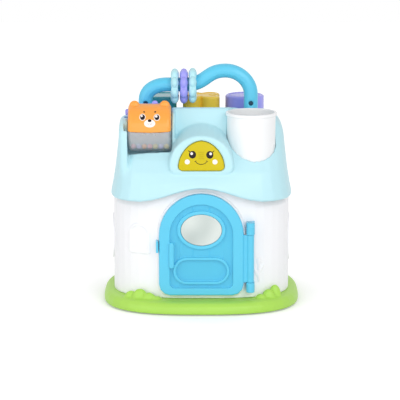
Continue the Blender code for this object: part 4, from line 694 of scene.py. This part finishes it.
def inkSpot(spot, carrier):
    ink, x, z, halfWidth, halfHeight, turn, thick = spot
    bpy.ops.object.select_all(action="DESELECT")
    bpy.ops.mesh.primitive_circle_add(vertices=36, radius=1, fill_type="TRIFAN",
                                      location=(x * mm, inkStart * mm, z * mm),
                                      rotation=(math.radians(90), math.radians(turn), 0))
    piece = bpy.context.object
    piece.scale = (halfWidth * mm, halfHeight * mm, 1)
    placeInMesh(piece)
    bpy.ops.object.mode_set(mode="EDIT")
    bpy.ops.mesh.select_all(action="SELECT")
    bpy.ops.mesh.subdivide(number_cuts=3)
    bpy.ops.object.mode_set(mode="OBJECT")
    layInk(piece, carrier, ink, thick)
    return piece


def inkLine(line, carrier):
    # The low part of a circle, widened to the line's width.
    ink, x, z, radius, halfAngle, width, thick = line
    bpy.ops.object.select_all(action="DESELECT")
    bpy.ops.mesh.primitive_circle_add(vertices=144, radius=radius * mm, fill_type="NOTHING",
                                      rotation=(math.radians(90), 0, 0))
    piece = bpy.context.object
    placeInMesh(piece)
    highest = -math.cos(math.radians(halfAngle)) * radius * mm
    pickPoints(piece, lambda place: place.z > highest)
    bpy.ops.mesh.delete(type="VERT")
    bpy.ops.mesh.select_all(action="SELECT")
    bpy.ops.mesh.extrude_edges_move()
    bpy.ops.transform.resize(value=(1 - width / radius,) * 3, center_override=(0, 0, 0))
    bpy.ops.object.mode_set(mode="OBJECT")
    if piece.data.polygons[0].normal.y > 0:
        pickFaces(piece, lambda face: True)
        bpy.ops.mesh.flip_normals()
        bpy.ops.object.mode_set(mode="OBJECT")
    piece.location = (x * mm, inkStart * mm, z * mm)
    placeInMesh(piece)
    layInk(piece, carrier, ink, thick)
    return piece


def printFace(look):
    shapes = [inkSpot(spot, look["carrier"]) for spot in look["spots"]]
    shapes += [inkLine(line, look["carrier"]) for line in look["lines"]]
    pickOnly(*shapes)
    bpy.ops.object.join()
    piece = bpy.context.object
    piece.name = look["name"]
    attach(piece, look["body"])
    print("printed", piece.name, len(piece.data.polygons))


printFace(bearPrint)
printFace(smilePrint)


# CAD nodes whose form is right take their own finish

plainNodes = {
    "handle_screw_left": "paintedScrewSteel", "handle_screw_right": "paintedScrewSteel",
    "battery_box": "mouldedWallPolypropylene", "module_housing": "mouldedWallPolypropylene",
    "battery_1": "sleevedCellSteel", "battery_2": "sleevedCellSteel",
    "circuit_board": "solderResistBoard", "speaker": "pressedSpeakerSteel", "led": "whitePadInk",
}
replaced = {name for piece in bpy.data.objects for name in piece.get("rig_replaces", [])}
for node, obj in frame["nodes"].items():
    if node not in replaced:
        obj.data.materials.clear()
        obj.data.materials.append(finishes[plainNodes.get(node, "zincPlatedSteel")])
print("pieces finished")


# Floor, lights and camera

studio = {
    # Lamp: place in metres, size in metres, power in watts.
    "keyLamp": ((0.9, -1.5, 1.1), 0.9, 7.6),
    "fillLamp": ((-1.3, -1.2, 0.7), 1.4, 7.0),
    "frontLamp": ((0.1, -2.4, 0.75), 1.6, 11.0),
    "aim": (0, 0, 0.15),
    # Light of the sky on the object, and what the eye sees added to the floor near the object and far from it,
    # with the two distances in metres; the lower glow near the object is painted shade around it.
    "sky": 0.64, "nearGlow": 0.22, "farGlow": 0.45, "near": 0.12, "far": 0.21,
    "floorSize": 6, "floorGrey": 0.9, "floorRough": 0.9,
}
view = {"elevation": 11.28, "distance": 3.0, "aim": (-1.7, 0, 128), "lens": 206.3, "sensor": 36}


def seenByEye(tree):
    # 1 for what the camera sees, straight or by way of gloss or glass, and 0 for what lights the object.
    rays = addNode(tree, "ShaderNodeLightPath")
    gloss = addNode(tree, "ShaderNodeMath", {0: rays.outputs["Is Camera Ray"], 1: rays.outputs["Is Glossy Ray"]},
                    operation="MAXIMUM")
    seen = addNode(tree, "ShaderNodeMath", {0: gloss.outputs[0], 1: rays.outputs["Is Transmission Ray"]},
                   operation="MAXIMUM")
    return seen.outputs[0]


def makeFloor():
    bpy.ops.object.select_all(action="DESELECT")
    bpy.ops.mesh.primitive_plane_add(size=studio["floorSize"])
    floor = bpy.context.object
    floor.name = "paleFloor"
    material, tree, shader, place = newMaterial("paleFloor")
    shader.inputs["Base Color"].default_value = (studio["floorGrey"],) * 3 + (1,)
    shader.inputs["Roughness"].default_value = studio["floorRough"]
    shader.inputs["Emission Color"].default_value = (1, 1, 1, 1)
    # Less glow near the object: painted shade that deepens the object's shadow on the floor.
    away = addNode(tree, "ShaderNodeVectorMath", {0: place}, operation="LENGTH")
    glow = addNode(tree, "ShaderNodeMapRange", {"Value": away.outputs["Value"]}, From_Min=studio["near"],
                   From_Max=studio["far"], To_Min=studio["nearGlow"], To_Max=studio["farGlow"])
    shown = addNode(tree, "ShaderNodeMath", {0: glow.outputs["Result"], 1: seenByEye(tree)}, operation="MULTIPLY")
    tree.links.new(shown.outputs[0], shader.inputs["Emission Strength"])
    floor.data.materials.append(material)


def makeLamp(name, place, size, power):
    bpy.ops.object.light_add(type="AREA", location=place)
    lamp = bpy.context.object
    lamp.name = name
    lamp.data.energy = power
    lamp.data.size = size
    aim = Vector(studio["aim"]) - Vector(place)
    lamp.rotation_euler = aim.to_track_quat("-Z", "Y").to_euler()


def makeSky():
    sky = bpy.data.worlds.new("studio")
    bpy.context.scene.world = sky
    sky.use_nodes = True
    tree = sky.node_tree
    background = tree.nodes["Background"]
    background.inputs["Color"].default_value = (1, 1, 1, 1)
    strength = addNode(tree, "ShaderNodeMapRange", {"Value": seenByEye(tree)}, To_Min=studio["sky"], To_Max=1.0)
    tree.links.new(strength.outputs["Result"], background.inputs["Strength"])


def makeCamera():
    elevation = math.radians(view["elevation"])
    aim = Vector(view["aim"]) * mm
    bpy.ops.object.camera_add()
    camera = bpy.context.object
    camera.location = aim + view["distance"] * Vector((0, -math.cos(elevation), math.sin(elevation)))
    camera.rotation_euler = (math.radians(90) - elevation, 0, 0)
    camera.data.lens = view["lens"]
    camera.data.sensor_width = view["sensor"]
    bpy.context.scene.camera = camera


makeFloor()
makeSky()
for name in ("keyLamp", "fillLamp", "frontLamp"):
    makeLamp(name, *studio[name])
makeCamera()
bpy.context.scene.view_settings.view_transform = "Standard"
print("studio made")
